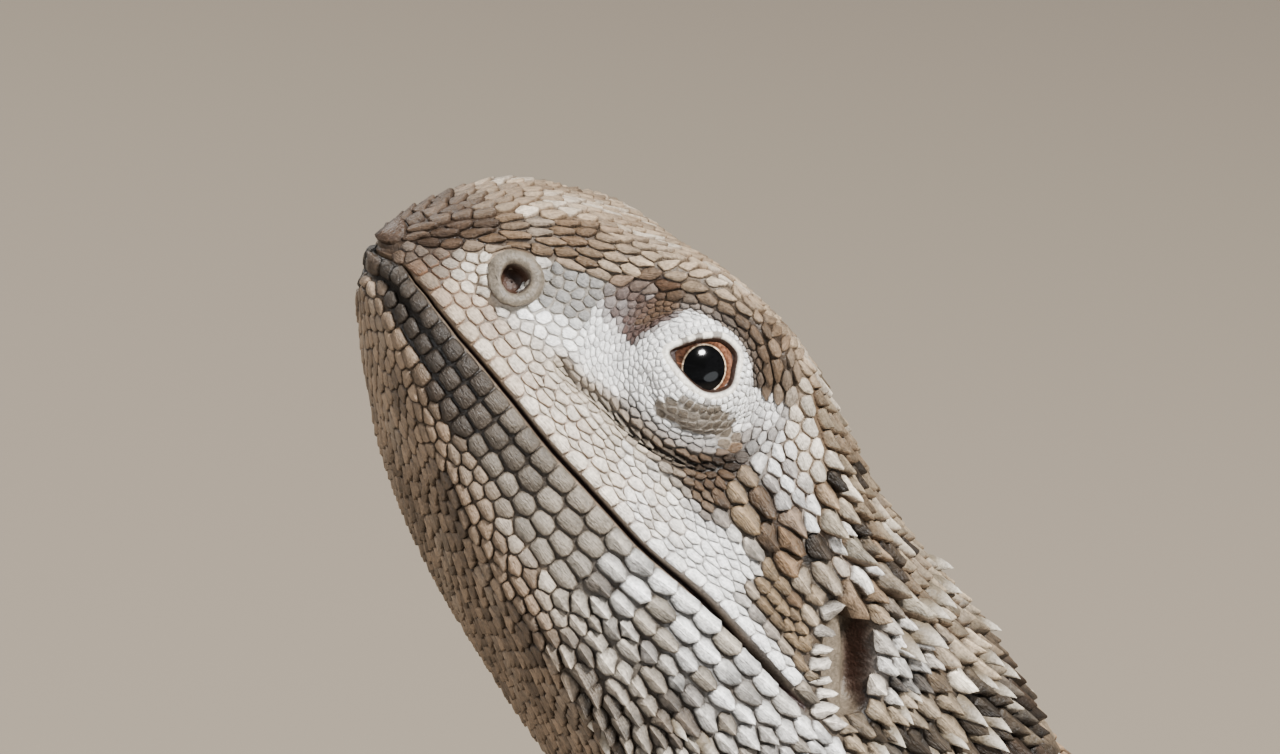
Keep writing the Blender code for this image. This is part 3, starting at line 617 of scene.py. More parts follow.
def on_head(s, c):
    """Points, outward directions and the way back along the head's or neck's skin."""
    s, c = np.atleast_1d(s).astype(float), np.atleast_1d(c).astype(float) % CORNERS
    i = np.clip(np.interp(s, ROWS, np.arange(len(ROWS))), 0, len(ROWS) - 1.001)
    j = np.interp(c, np.append(COLUMNS, CORNERS), np.arange(len(COLUMNS) + 1))
    i0, j0 = i.astype(int), np.minimum(j.astype(int), len(COLUMNS) - 1)
    fi, fj = (i - i0)[:, None], (j - j0)[:, None]
    j1 = (j0 + 1) % len(COLUMNS)
    g = head_grid
    near = g[i0, j0] * (1 - fj) + g[i0, j1] * fj
    far = g[i0 + 1, j0] * (1 - fj) + g[i0 + 1, j1] * fj
    return near * (1 - fi) + far * fi, unit(head_out[i0, j0]), unit(far - near)


# Colours and sizes of the scales, region by region.


def linear(red, green, blue):
    """A colour as a screen shows it, in the renderer's linear light."""
    v = np.array((red, green, blue))
    return np.where(v < 0.04, v / 12.92, ((v + 0.055) / 1.055) ** 2.4)


WHITE = linear(0.93, 0.93, 0.925)
PEARL = linear(0.76, 0.75, 0.74)
CREAM = linear(0.80, 0.765, 0.71)
SAND = linear(0.595, 0.52, 0.43)
TAN = linear(0.505, 0.42, 0.33)
BROWN = linear(0.34, 0.265, 0.195)
DARK = linear(0.155, 0.12, 0.09)
INK = linear(0.125, 0.10, 0.075)
ASH = linear(0.52, 0.49, 0.445)
GREY = linear(0.46, 0.425, 0.38)
SMOKE = linear(0.25, 0.21, 0.175)
CHIN = linear(0.52, 0.44, 0.36)
RUST = linear(0.235, 0.12, 0.065)
FAWN = linear(0.66, 0.58, 0.485)
HONEY = linear(0.44, 0.37, 0.28)
UMBER = linear(0.34, 0.27, 0.205)
STONE = linear(0.48, 0.475, 0.465)
DUSK = linear(0.50, 0.445, 0.37)
BELLY = linear(0.62, 0.57, 0.50)
POUCH = linear(0.34, 0.305, 0.262)
POUCH_GROOVE = linear(0.60, 0.57, 0.53)
SNOUT_TIP = linear(0.25, 0.19, 0.145)
LIP_CREAM = linear(0.79, 0.74, 0.67)
LIP_GROOVE = linear(0.50, 0.37, 0.28)
JAW_DARK = linear(0.145, 0.118, 0.097)

# Regions of the head and neck, each laid over those before it:
# (s from, s to, c from, c to, length, width, height, keel, lift, scale colour, groove colour).
HEAD_REGIONS = [
    (-1, 99, -1, 9, 1.20, 1.00, 0.20, 0.00, 0.00, CREAM, TAN),
    (-1, 43, -1, 2.0, 1.40, 1.00, 0.22, 0.10, 0.12, SAND, BROWN),
    (22, 43, -1, 2.3, 1.55, 1.20, 0.26, 0.24, 0.20, DUSK, BROWN),
    (-1, 10, 1.4, 2.74, 1.55, 0.62, 0.16, 0.16, 0.20, TAN, SMOKE),
    (9, 21, 1.6, 2.75, 1.35, 0.74, 0.15, 0.12, 0.18, FAWN, SMOKE),
    (0.5, 12, 2.75, 4.7, 0.90, 0.74, 0.13, 0.00, 0.02, WHITE, ASH),
    (5.5, 10.5, 2.7, 3.5, 0.85, 0.70, 0.15, 0.00, 0.02, STONE, ASH),
    (-1, 5, 2.7, 4.7, 0.85, 0.72, 0.14, 0.00, 0.02, CREAM, TAN),
    (10.5, 14, 2.6, 3.9, 0.56, 0.34, 0.10, 0.00, 0.00, WHITE, PEARL),
    (9, 36, 3.9, 4.9, 0.95, 0.46, 0.11, 0.03, 0.12, WHITE, PEARL),
    (14, 23.5, 3.35, 4.15, 0.85, 0.58, 0.16, 0.18, 0.16, UMBER, DARK),
    (22.5, 35, 2.9, 3.95, 1.90, 1.50, 0.16, 0.46, 0.26, HONEY, DARK),
    (20.5, 28, 2.72, 3.15, 1.20, 0.90, 0.20, 0.22, 0.20, WHITE, TAN),
    (26, 45, 1.95, 2.75, 1.70, 1.30, 0.24, 0.46, 0.36, DUSK, BROWN),
    (27, 36, 3.75, 4.6, 1.05, 0.95, 0.13, 0.34, 0.14, HONEY, SMOKE),
    (34, 43, 2.3, 5.6, 1.50, 1.20, 0.24, 0.42, 0.36, DUSK, SMOKE),
    (-1, 14, 5.1, 6.6, 1.30, 0.95, 0.18, 0.00, 0.03, GREY, DARK),
    (10, 28, 5.1, 6.3, 1.60, 1.30, 0.24, 0.12, 0.06, GREY, DARK),
    (19, 43, 5.1, 6.5, 1.60, 1.35, 0.24, 0.34, 0.24, ASH, DARK),
    (30, 43, 4.9, 5.7, 1.50, 1.10, 0.22, 0.32, 0.24, ASH, SMOKE),
    (-1, 14, 6.2, 9, 1.15, 0.85, 0.16, 0.02, 0.05, CHIN, DARK),
    (10, 43, 6.4, 9, 1.30, 0.95, 0.18, 0.16, 0.12, CHIN, DARK),
    (22, 43, 6.1, 7.0, 1.50, 1.15, 0.20, 0.40, 0.30, GREY, DARK),
    (43, 99, -1, 9, 2.10, 1.60, 0.26, 0.42, 0.34, DUSK, SMOKE),
    (43, 99, 1.5, 5.0, 2.00, 1.50, 0.26, 0.46, 0.38, DUSK, SMOKE),
    (43, 99, 5.5, 9, 1.90, 1.45, 0.22, 0.34, 0.28, GREY, SMOKE),
]
# How softly the regions end, along s and along c.
HEAD_SOFT = (1.0, 0.12)
# Dark spots on the sides of the head, as (s, c, radius).
SPOTS = [
    (27.1, 3.14, 0.5), (29.4, 3.08, 0.8), (31.4, 2.97, 0.6), (31.1, 2.14, 0.8), (34.5, 1.86, 0.9),
    (39.5, 2.0, 0.9), (42.4, 3.92, 1.2), (40.0, 3.0, 0.9),
    (27.5, 2.1, 0.7), (29.5, 1.5, 0.8), (36.5, 1.2, 1.0), (40.2, 2.14, 1.0), (40.9, 2.69, 1.0),
    (40.2, 4.14, 1.1), (38.9, 3.81, 0.9),
]
# Dark spots on the sides of the neck, which the trunk's first scales share.
NECK_SPOTS = [
    (47.3, 2.36, 1.8), (49.4, 1.58, 1.2), (52.2, 2.25, 1.9), (45.5, 3.4, 1.3), (50.5, 3.6, 1.7),
    (55.2, 1.25, 2.9), (56.5, 3.0, 1.8), (59.5, 1.9, 2.2),
]
RUST_PLACE = (12.1, 3.12)
# The pale scales behind the ear's top.
PALE_PLACE = (39.0, 2.75)

FORM_NAMES = ("length", "width", "height", "keel", "lift")


def waves(p, size, seed):
    """Smooth noise between about -1 and 1, with lumps of the given size in millimetres."""
    rng = np.random.default_rng(seed)
    total = np.zeros(len(p))
    for _ in range(7):
        way = unit(rng.normal(size=3)) * 2 * math.pi / (size * rng.uniform(1.2, 2.6))
        total += np.sin(p @ way + rng.uniform(0, 6))
    return total / 3.2


def eye_reach(p):
    """The place in the nearer eye's frame, the distance outside its lids, and the side."""
    local = world_to_head(p)
    side = np.where(local[:, 1] < 0, -1.0, 1.0)
    local[:, 1] *= side
    xy, r, front = eye_xy(local, 1)
    xy = xy * (LID_RADIUS / np.maximum(r, 1))[:, None]
    outside = np.full(len(p), 99.0)
    near = (r < 7.5) & (front > 0.5)
    if near.any():
        outside[near] = loop_distance(xy[near], EYE_LOOP)
    return xy, outside, side


def regions_laid(regions, s, c, soft):
    """Five sizes, a scale colour and a groove colour at each place, from regions with soft edges."""
    forms = np.zeros((len(s), 11))
    round_c = half_section(c)
    for s_from, s_to, c_from, c_to, *sizes, colour, groove in regions:
        inside = ramp(s, s_from - soft[0], s_from + soft[0])
        inside *= ramp(s, s_to + soft[0], s_to - soft[0])
        inside *= ramp(round_c, c_from - soft[1], c_from + soft[1])
        inside *= ramp(round_c, c_to + soft[1], c_to - soft[1])
        forms += (np.concatenate([sizes, colour, groove]) - forms) * inside[:, None]
    return forms


def head_forms(p, s, c):
    """Sizes and colours of the scales at points of the head and neck."""
    forms = regions_laid(HEAD_REGIONS, s, c, HEAD_SOFT)
    xy, outside, _ = eye_reach(p)
    ring = ramp(outside, 3.1, 2.3) * ramp(above_fold(xy, outside), 0.25, -0.05)
    beads = np.concatenate([(0.60, 0.34, 0.13, 0, 0), WHITE, PEARL])
    forms += (beads - forms) * ring[:, None]
    pouch = ramp(np.hypot((xy[:, 0] + 0.5) / 2.8, (xy[:, 1] + 3.05) / 0.92), 1.03, 0.97) * (outside < 90)
    patch = np.concatenate([(0.74, 0.68, 0.05, 0, 0), POUCH, POUCH_GROOVE])
    forms += (patch - forms) * pouch[:, None]
    rim = ramp(outside, 0.95, 0.7)
    forms[:, :2] += ((0.42, 0.36) - forms[:, :2]) * rim[:, None]
    rough = ramp(forms[:, 3], 0.12, 0.4)
    forms[:, :2] *= 1 + 0.22 * (rough * waves(p, 1.4, 17))[:, None]
    return forms


def mirrored(p):
    """Points in the head's frame, those of the right side brought to the left."""
    local = world_to_head(p)
    local[:, 1] = np.abs(local[:, 1])
    return local


def from_spot(p, s, c):
    """How far points are from the skin's place (s, c) or from its like on the right side."""
    middle = on_head([s, s], [c, CORNERS - c])[0]
    return np.linalg.norm(p[:, None] - middle, axis=2).min(1)


def above_fold(xy, outside):
    """How far past the upper lid's fold points near the eye are, well below nought under the eye."""
    fold = smooth_line(LID_FOLD, 40)
    angle = np.arctan2(fold[:, 1], fold[:, 0]) % (2 * math.pi)
    turn = np.arctan2(xy[:, 1], xy[:, 0]) % (2 * math.pi)
    past = np.hypot(xy[:, 0], xy[:, 1]) - np.interp(turn, angle, np.hypot(fold[:, 0], fold[:, 1]))
    return np.where((turn > angle[0]) & (turn < angle[-1]) & (outside < 90), past, -9)


class Paint:
    """Colours of many places, over which others are laid."""

    def __init__(self, colours):
        self.colours = colours.copy()

    def lay(self, colour, amount):
        self.colours += (colour - self.colours) * np.clip(amount, 0, 1)[:, None]


def head_marks(p, s, c, colours):
    """Blotches, spots and tints laid over the regions' colours; the skin and its scales share them."""
    cm = half_section(c)
    xy, outside, _ = eye_reach(p)
    paint = Paint(colours)
    lay = paint.lay
    broad, fine = waves(p, 2.6, 3), waves(p, 1.1, 5)
    # The crown, the snout's side ridge and the temple.
    crown = ramp(cm, 2.65, 2.4) * ramp(s, 1, 4)
    lay(BROWN, crown * 0.55 * ramp(broad + 0.5 * fine, 0.1, 0.8))
    lay(CREAM, crown * 0.45 * ramp(-broad + 0.4 * fine, 0.3, 0.9))
    canthus = ramp(cm - 0.6 * ramp(s, 6, 10), 1.5, 1.8) * ramp(cm, 2.66, 2.56)
    canthus *= ramp(s, 0, 1) * ramp(s, 24, 20)
    lay(BROWN, canthus * 0.65 * ramp(s, 7, 3))
    lay(BROWN, canthus * 0.45 * ramp(s, 3, 7) * ramp(fine + 0.4 * broad, -0.1, 0.6))
    ridge = ramp(s, 6.5, 8.5) * ramp(s, 13, 11) * ramp(cm, 1.4, 1.7) * ramp(cm, 2.55, 2.4)
    lay(FAWN, ridge * 0.8)
    temple = ramp(cm, 2.35, 2.6) * ramp(cm, 4.0, 3.8) * ramp(s, 20, 22) * ramp(s, 37, 33)
    lay(BROWN, temple * 0.85 * ramp(fine + 0.5 * broad, -0.5, 0.4))
    lay(CREAM, temple * 0.25 * ramp(-fine, 0.4, 0.9))
    lay(WHITE, 0.55 * ramp(from_spot(p, *PALE_PLACE) + 0.4 * fine, 3.4, 1.8))
    for spot_s, spot_c, radius in SPOTS + NECK_SPOTS:
        lay(INK, 0.95 * ramp(from_spot(p, spot_s, spot_c) + 0.3 * fine, radius * 1.2, radius * 0.8))
    # The patch in front of the eye, and painted shade in the lid's fold, under the brow and in the fold
    # below the eye.
    rusty = ramp(from_spot(p, *RUST_PLACE) + 0.3 * fine, 1.45, 0.95)
    arm = ramp(line_distance(xy, np.array(LID_FOLD[:3])) + 0.1 * fine, 0.8, 0.35) * (outside < 90)
    lay(RUST, 0.95 * np.maximum(rusty, arm))
    past = above_fold(xy, outside)
    # Painted shade along the upper lid's fold, deeper towards the rear.
    lay(BROWN, 0.85 * ramp(np.abs(past - 0.05) + 0.08 * fine, 0.4, 0.12))
    lay(DARK, 0.5 * ramp(np.abs(past - 0.05), 0.2, 0.05) * ramp(xy[:, 0], 1.0, -0.5))
    # Painted shade in the crease of the fold below the eye.
    crease = world_to_head(on_head(*smooth_line(CHEEK_FOLD, 40).T)[0])
    folded = line_distance(mirrored(p), crease) + 0.1 * fine
    lay(BROWN, 0.95 * ramp(folded, 1.3, 0.7))
    lay(DARK, 0.9 * ramp(folded, 0.75, 0.3))
    # Painted shadow under the brow, past the lid's fold.
    brow_shadow = ramp(cm, 1.5, 1.8) * ramp(cm, 2.8, 2.6) * ramp(s, 15.5, 17) * ramp(s, 23, 20)
    lay(BROWN, 0.7 * brow_shadow * ramp(past, 0.0, 0.3))
    white_band = ramp(np.abs(cm - np.interp(s, (21, 24, 29, 37), (3.0, 3.12, 2.7, 2.15))), 0.3, 0.1)
    lay(WHITE, 0.5 * white_band * ramp(s, 20.5, 22) * ramp(s, 38, 33) * ramp(fine, 0.9, 0.3))
    # The lips, the jaw, the throat and the neck.
    lips = ramp(cm, 3.7, 4.3) * ramp(cm, 5.02, 4.99)
    lay(LIP_CREAM, lips * 0.85 * ramp(s + 2.0 * fine, 24, 15))
    lay(TAN, lips * 0.55 * ramp(s + 2.5 * fine, 12, 4))
    lay(BROWN, lips * 0.5 * ramp(s + 1.5 * broad + 1.5 * fine, 4.0, 0.8))
    snout = ramp(s, 3.8, 1.6) * ramp(cm, 4.9, 4.4)
    lay(SNOUT_TIP, snout * 0.9)
    jaw = ramp(cm, 5.02, 5.1) * ramp(cm, 6.6, 6.2)
    lay(JAW_DARK, jaw * 0.9 * ramp(s + 2.0 * broad, 17, 8))
    lay(ASH, jaw * 0.6 * ramp(s + 2.0 * broad, 10, 19))
    lay(WHITE, jaw * 0.72 * ramp(s + 2.2 * broad, 17, 24) * ramp(cm, 6.3, 5.8) * ramp(fine, -0.8, -0.1))
    lay(SMOKE, jaw * 0.35 * ramp(s, 20, 26) * ramp(cm, 5.15, 5.5) * ramp(-waves(p, 2.2, 15), 0.25, 0.7))
    streak = ramp(cm, 5.6, 5.8) * ramp(cm, 6.8, 6.4) * ramp(s, 15, 20)
    lay(CREAM, streak * 0.6 * ramp(waves(p, 3.5, 11), 0.0, 0.6))
    lay(SMOKE, streak * 0.75 * ramp(-waves(p, 3.0, 13), 0.05, 0.5))
    under = ramp(cm, 6.2, 6.6)
    lay(ASH, under * 0.25 * ramp(broad, 0.2, 0.9))
    lay(SMOKE, under * 0.55 * ramp(-broad, 0.0, 0.7))
    neck = ramp(s, 40, 46)
    lay(DARK, neck * 0.85 * ramp(waves(p, 4.0, 21), 0.15, 0.5))
    lay(CREAM, neck * 0.3 * ramp(-waves(p, 4.0, 23), 0.3, 0.8) * ramp(cm, 1, 2) * ramp(cm, 5.5, 5))
    return np.clip(paint.colours, 0, 1)


# Where the scales stand.

SEED_FIELDS = ("place", "out", "back", "s", "c", *FORM_NAMES, "limit", "edge", "colour", "groove")
# How far past half its size a scale may grow to meet its neighbours.
FREE_REACH = 1.55
# A scale with a straight edge ends so far to its left, or to its right if less than nought.
# This far is no edge.
NO_EDGE = 99.0


def flattened(way, out):
    """A direction along the skin, from one that may lean out of it."""
    return unit(way - out * (way * out).sum(1, keepdims=True))


def turned_round_eyes(p, out, back):
    """Near the eyes the scales lie in rings, not backwards."""
    local = world_to_head(p)
    side = np.where(local[:, 1] < 0, -1.0, 1.0)[:, None]
    centre = head_to_world(EYE_CENTRE * np.hstack([np.ones_like(side), side, np.ones_like(side)]))
    outside = eye_reach(p)[1]
    ring = unit(np.cross(out, p - centre + head_direction([EYE_OUT])[0] * 0.01))
    ring *= np.sign((ring * back).sum(1, keepdims=True) + 1e-9)
    turned = back + (ring - back) * ramp(outside, 3.6, 2.4)[:, None]
    return flattened(turned, out)


def seeds_from(forms, colour, place, out, back, s, c):
    """Scales to be, with all the fields of SEED_FIELDS."""
    seeds = {"place": place, "out": out, "back": back, "s": s, "c": c}
    for k, name in enumerate(FORM_NAMES):
        seeds[name] = forms[:, k].copy()
    seeds["colour"] = colour
    seeds["groove"] = stained(forms, colour)
    seeds["limit"] = np.full(len(s), FREE_REACH)
    seeds["edge"] = np.full(len(s), NO_EDGE)
    return seeds


def head_seeds(s, c, place=None, out=None, back=None):
    """Seeds at places of the head's and neck's skin, with the regions' sizes and colours."""
    if place is None:
        place, out, back = on_head(s, c)
    forms = head_forms(place, s, c)
    marked = head_marks(place, s, c, forms[:, 5:8])
    return seeds_from(forms, marked, place, out, turned_round_eyes(place, out, back), s, c % CORNERS)


def stained(forms, colour):
    """The grooves' colour, darkened as much as the markings darken the scales beside them."""
    return forms[:, 8:11] * np.clip(colour / forms[:, 5:8], 0, 1)


def joined(groups):
    return {k: np.concatenate([g[k] for g in groups]) for k in SEED_FIELDS}


def picked(seeds, keep):
    return {k: v[keep] for k, v in seeds.items()}


def mouth_row(offset, lengths, start, stop, side):
    """Places (s, c) of one row of scales along the mouth, so many millimetres above it, or below."""
    found = []
    s = start
    down = -math.copysign(1, offset)
    path = MOUTH + down * np.linspace(0, 2.4, 49)
    while s < stop:
        places, _, _ = on_head(np.full(49, s), path)
        walked = np.concatenate([[0], np.cumsum(np.linalg.norm(np.diff(places, axis=0), axis=1))])
        walked -= 0.12 + 0.9 * pairs(MOUTH_DEPTH, s)
        c = np.interp(abs(offset), walked, path)
        found.append((s, on_side(c, side)))
        step = 0.02 * (s + 0.3)
        near, _, _ = on_head([s, s + step], [c, c])
        s += pairs(lengths, s) * step / np.linalg.norm(near[1] - near[0])
    return np.array(found)


# Rows along the mouth: (offset, lengths along the way back, width, height, first place).
MOUTH_ROWS = [
    (0.48, [(0, 1.2), (6, 1.45), (30, 1.5)], 0.98, 0.22, 1.3),
    (1.38, [(0, 1.0), (6, 1.3), (30, 1.4)], 0.85, 0.19, 1.5),
    (2.20, [(0, 0.9), (6, 1.1), (30, 1.3)], 0.75, 0.17, 1.7),
    (-0.68, [(0, 1.1), (8, 1.45), (20, 1.85), (33, 1.8)], 1.30, 0.28, 0.9),
    (-1.98, [(0, 1.1), (8, 1.55), (20, 2.0), (33, 1.8)], 1.30, 0.30, 1.2),
    (-3.25, [(0, 1.1), (8, 1.4), (20, 1.8), (33, 1.6)], 1.20, 0.28, 2.2),
]
# The sizes upward and across of the snout's single scales.
ROSTRAL_SIZE = (2.3, 3.3)
MENTAL_SIZE = (1.5, 2.2)


def lip_seeds():
    groups = []
    for offset, lengths, width, height, start in MOUTH_ROWS:
        for side in (1, -1):
            stop = 35.0 if abs(offset) < 2 else 31.0
            s, c = mouth_row(offset, lengths, start, stop, side).T
            seeds = head_seeds(s, c)
            seeds["length"] = pairs(lengths, s) * random.uniform(0.93, 1.07, len(s))
            seeds["width"] = np.full(len(s), width)
            seeds["height"] = np.full(len(s), height)
            if abs(offset) < 1:
                across = np.cross(seeds["out"], seeds["back"])
                mouthward = on_head(s, np.full(len(s), on_side(MOUTH, side)))[0] - seeds["place"]
                seeds["edge"] = (abs(offset) + 0.03) * np.sign((mouthward * across).sum(1))
            if offset > 0:
                seeds["groove"] += (LIP_GROOVE - seeds["groove"]) * ramp(s, 26, 12)[:, None]
            tip = head_to_world(TIP_PLACES)
            clear = np.linalg.norm(seeds["place"][:, None] - tip, axis=2) > (1.75, 1.2)
            groups.append(picked(seeds, clear.all(1)))
    return groups


# The middles of the single scales at the snout's tip, above the mouth and below it, in the head's frame.
TIP_PLACES = np.array([(-0.3, 0, 2.0), (0.2, 0, -0.35)])


def tip_seeds():
    groups = []
    for place, size, height, colour in (
        (TIP_PLACES[0], ROSTRAL_SIZE, 0.4, SNOUT_TIP),
        (TIP_PLACES[1], MENTAL_SIZE, 0.28, SMOKE),
    ):
        place, out, _ = head_surface.nearest(head_to_world([place]))
        seeds = head_seeds(np.array([0.3]), np.array([0.5]), place, out, head_direction([(0.2, 0, 1)]))
        seeds["length"][:], seeds["width"][:] = size
        seeds["height"][:] = height
        seeds["limit"][:] = 1.2
        seeds["colour"][:] = colour
        seeds["groove"][:] = DARK
        groups.append(seeds)
    return groups


# Rings of beads round the lids' opening: (distance outside it, size).
RIM_RINGS = [(0.55, 0.40), (0.98, 0.46)]


def rim_seeds():
    """Rings of small beads round the lids' opening."""
    groups = []
    loop = smooth_loop(EYE_OPENING, 200)
    out_of_it = outward(loop, loop - np.roll(loop, 1, 0))
    for side in (1, -1):
        for outside, size in RIM_RINGS:
            ring = loop + out_of_it * outside
            steps = np.linalg.norm(np.roll(ring, -1, 0) - ring, axis=1)
            walked = np.concatenate([[0], np.cumsum(steps)])
            count = int(walked[-1] / size)
            at = np.linspace(0, walked[-1], count, endpoint=False)
            closed = np.vstack([ring, ring[:1]])
            xy = np.column_stack([np.interp(at, walked, closed[:, k]) for k in (0, 1)])
            place, out, face = head_surface.nearest(on_eye(xy, LID_RADIUS, side))
            s, c = face_coordinates(face)
            seeds = head_seeds(s, c, place, out, on_head(s, c)[2])
            seeds["length"][:] = size
            seeds["width"][:] = size * 0.95
            seeds["height"][:] = 0.13
            groups.append(seeds)
    return groups


def face_coordinates(face):
    i, j = np.divmod(face, len(COLUMNS))
    wrapped = np.append(COLUMNS, CORNERS)
    return (ROWS[i] + ROWS[i + 1]) / 2, (wrapped[j] + wrapped[j + 1]) / 2


def closeness(p, back, out, length, width, q, q_back, q_out, q_length, q_width):
    """How near two scales are, as a share of what their sizes call for."""
    d = q - p
    share = np.zeros(d.shape[:-1])
    for b, o, l, w in ((back, out, length, width), (q_back, q_out, q_length, q_width)):
        along = (d * b).sum(-1)
        across = (d * np.cross(o, b)).sum(-1)
        away = (d * o).sum(-1)
        share += np.sqrt((along / l) ** 2 + (across / w) ** 2 + (away / w) ** 2)
    return share / 2


# Seeds thrown at once, and how near to another one a seed may be and still be kept.
SCATTER_BATCH = 600
SCATTER_SHARE = 0.74
SIZE_NAMES = ("place", "back", "out", "length", "width")


def tree_of(place):
    tree = KDTree(len(place))
    for k, p in enumerate(place.tolist()):
        tree.insert(p, k)
    tree.balance()
    return tree


def nearest_seeds(tree, points, count):
    return np.array([[h[1] for h in tree.find_n(p, count)] for p in points.tolist()])


def crowding(a, ia, b, ib):
    """Closeness of seeds ia of one set to seeds ib of another."""
    return closeness(*[a[k][ia] for k in SIZE_NAMES], *[b[k][ib] for k in SIZE_NAMES])


def scatter(surface, weight, seeds_at, given, tries):
    """Throws seeds on a surface and keeps those with room round them."""
    chance = weight / weight.sum()
    kept = joined(given) if given else None
    every = np.arange(SCATTER_BATCH)
    for _ in range(tries):
        face = random.choice(len(weight), SCATTER_BATCH, p=chance)
        corners = surface.points[surface.padded[face]]
        u, v = random.uniform(size=(2, SCATTER_BATCH, 1))
        front = corners[:, 0] * (1 - u) + corners[:, 1] * u
        rear = corners[:, -1] * (1 - u) + corners[:, 2] * u
        new = seeds_at(front * (1 - v) + rear * v, face)
        order = every
        if kept is not None:
            near = nearest_seeds(tree_of(kept["place"]), new["place"], 10)
            order = every[crowding(new, every[:, None], kept, near).min(1) > SCATTER_SHARE]
        among = crowding(new, order[:, None], new, order[None])
        chosen = []
        for k in range(len(order)):
            if not chosen or among[k, chosen].min() > SCATTER_SHARE:
                chosen.append(k)
        new = picked(new, order[chosen])
        kept = new if kept is None else joined([kept, new])
    return kept


def spread(surface, seeds, fixed, seeds_at, rounds):
    """Moves the loose seeds apart evenly, keeping them on the surface."""
    loose = np.flatnonzero(~fixed)
    for _ in range(rounds):
        near = nearest_seeds(tree_of(seeds["place"]), seeds["place"][loose], 9)[:, 1:]
        m = crowding(seeds, loose[:, None], seeds, near)
        apart = unit(seeds["place"][loose][:, None] - seeds["place"][near])
        push = np.clip(1.0 - m, 0, 0.6)[..., None] * apart * seeds["width"][loose][:, None, None] * 0.5
        place, _, face = surface.nearest(seeds["place"][loose] + push.sum(1))
        new = seeds_at(place, face)
        for k in SEED_FIELDS:
            seeds[k][loose] = new[k]
    return seeds


def head_seeds_at(place, face):
    s, c = face_coordinates(face)
    _, out, back = on_head(s, c)
    return head_seeds(s, c, place, unit(out + head_surface.vertex_normals[face]), back)


# The scales' own shapes.

NEIGHBOURS = 14
CORNER_SHARPNESS = 14
# A neighbour that a direction faces less than this sets no limit to it.
AWAY = 0.05
NO_LIMIT = 1e3
# A scale's rings: (share of its reach, share of its height, share of its own colour).
SCALE_RINGS = [(1.0, -0.4, 0.0), (0.95, 0.58, 0.5), (0.82, 0.96, 1.0)]
# How much the scales' shades differ, how far the most stained take the groove's colour, how much lighter
# a sharp keel's crest is, partly its own pale keel and partly a painted highlight, and how much painted
# shade darkens a scale's root down in the groove.
SHADE_SPREAD = 0.11
MOST_STAIN = 0.4
CREST_PALE_AND_HIGHLIGHT = 1.1
ROOT_PAINTED_SHADE = 0.7
# A keel of this height shapes the whole scale.
FULL_KEEL = 0.3
# Scales with a keel higher than this have crisp facets.
CRISP_KEEL = 0.2


def outlines(seeds, every, directions):
    """How far each scale reaches, direction by direction, before it meets the next of all the scales."""
    near = nearest_seeds(every["tree"], seeds["place"], NEIGHBOURS + 1)[:, 1:]
    d = every["place"][near] - seeds["place"][:, None]
    out = seeds["out"][:, None]
    side = np.cross(seeds["out"], seeds["back"])
    stretch = np.sqrt(seeds["length"] / seeds["width"])[:, None]
    x = (d * seeds["back"][:, None]).sum(-1) / stretch
    y = (d * side[:, None]).sum(-1) * stretch
    # Where the skin bends sharply, the way to a neighbour is longer than it looks from above.
    level = np.linalg.norm(d - (d * out).sum(-1, keepdims=True) * out, axis=2)
    bent = np.maximum(0.85 * np.linalg.norm(d, axis=2) / np.maximum(level, 1e-3), 1)
    x, y = x * bent, y * bent
    far = np.maximum(np.hypot(x, y), 1e-3)
    r = np.sqrt(seeds["length"] * seeds["width"]) / 2
    theirs = np.sqrt(every["length"] * every["width"])[near] / 2
    mine = far * r[:, None] / (r[:, None] + theirs)
    turn = np.arange(directions) * 2 * math.pi / directions
    sin = np.sin(turn)
    facing_it = (x[..., None] * np.cos(turn) + y[..., None] * sin) / far[..., None]
    reach = np.where(facing_it > AWAY, mine[..., None] / np.maximum(facing_it, AWAY), NO_LIMIT)
    limit = (seeds["limit"] * r)[:, None]
    straight = (seeds["edge"] * stretch[:, 0])[:, None] / np.where(np.abs(sin) < AWAY, AWAY, sin)
    straight = np.where(straight > 0, straight, NO_LIMIT)
    soft = (reach**-CORNER_SHARPNESS).sum(1) + limit**-CORNER_SHARPNESS + straight**-CORNER_SHARPNESS
    gap = 0.02 + 0.035 * r[:, None]
    return soft ** (-1 / CORNER_SHARPNESS) - gap, turn


def in_scene(name, data):
    obj = bpy.data.objects.new(name, data)
    bpy.context.scene.collection.objects.link(obj)
    return obj


def mesh_object(name, points, faces, material):
    """A smooth mesh from points in millimetres and arrays or lists of faces, riding on the model."""
    mesh = bpy.data.meshes.new(name)
    mesh.vertices.add(len(points))
    above_floor = np.maximum(points, (-np.inf, -np.inf, 0))
    mesh.vertices.foreach_set("co", (above_floor * MM).astype(np.float32).ravel())
    flat = np.concatenate([np.asarray(f, np.int32).reshape(-1) for f in faces])
    sizes = np.concatenate([np.full(len(f), np.asarray(f).shape[1]) for f in faces])
    starts = np.concatenate([[0], np.cumsum(sizes)[:-1]]).astype(np.int32)
    mesh.loops.add(len(flat))
    mesh.polygons.add(len(sizes))
    mesh.polygons.foreach_set("loop_start", starts)
    mesh.polygons.foreach_set("vertices", flat)
    mesh.update(calc_edges=True)
    mesh.validate()
    mesh.shade_smooth()
    mesh.materials.append(material)
    obj = in_scene(name, mesh)
    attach(obj, "root")
    return obj


def put_tint(obj, colours):
    layer = obj.data.color_attributes.new(name="tint", type="FLOAT_COLOR", domain="POINT")
    rgba = np.hstack([colours, np.ones((len(colours), 1))]).astype(np.float32)
    layer.data.foreach_set("color", rgba.ravel())


def put_map(obj, uv):
    layer = obj.data.uv_layers.new(name="OFBake")
    index = np.zeros(len(obj.data.loops), np.int32)
    obj.data.loops.foreach_get("vertex_index", index)
    layer.data.foreach_set("uv", uv[index].astype(np.float32).ravel())


# How large each scale's patch is on the unrolled skin.
PATCH = 0.0015


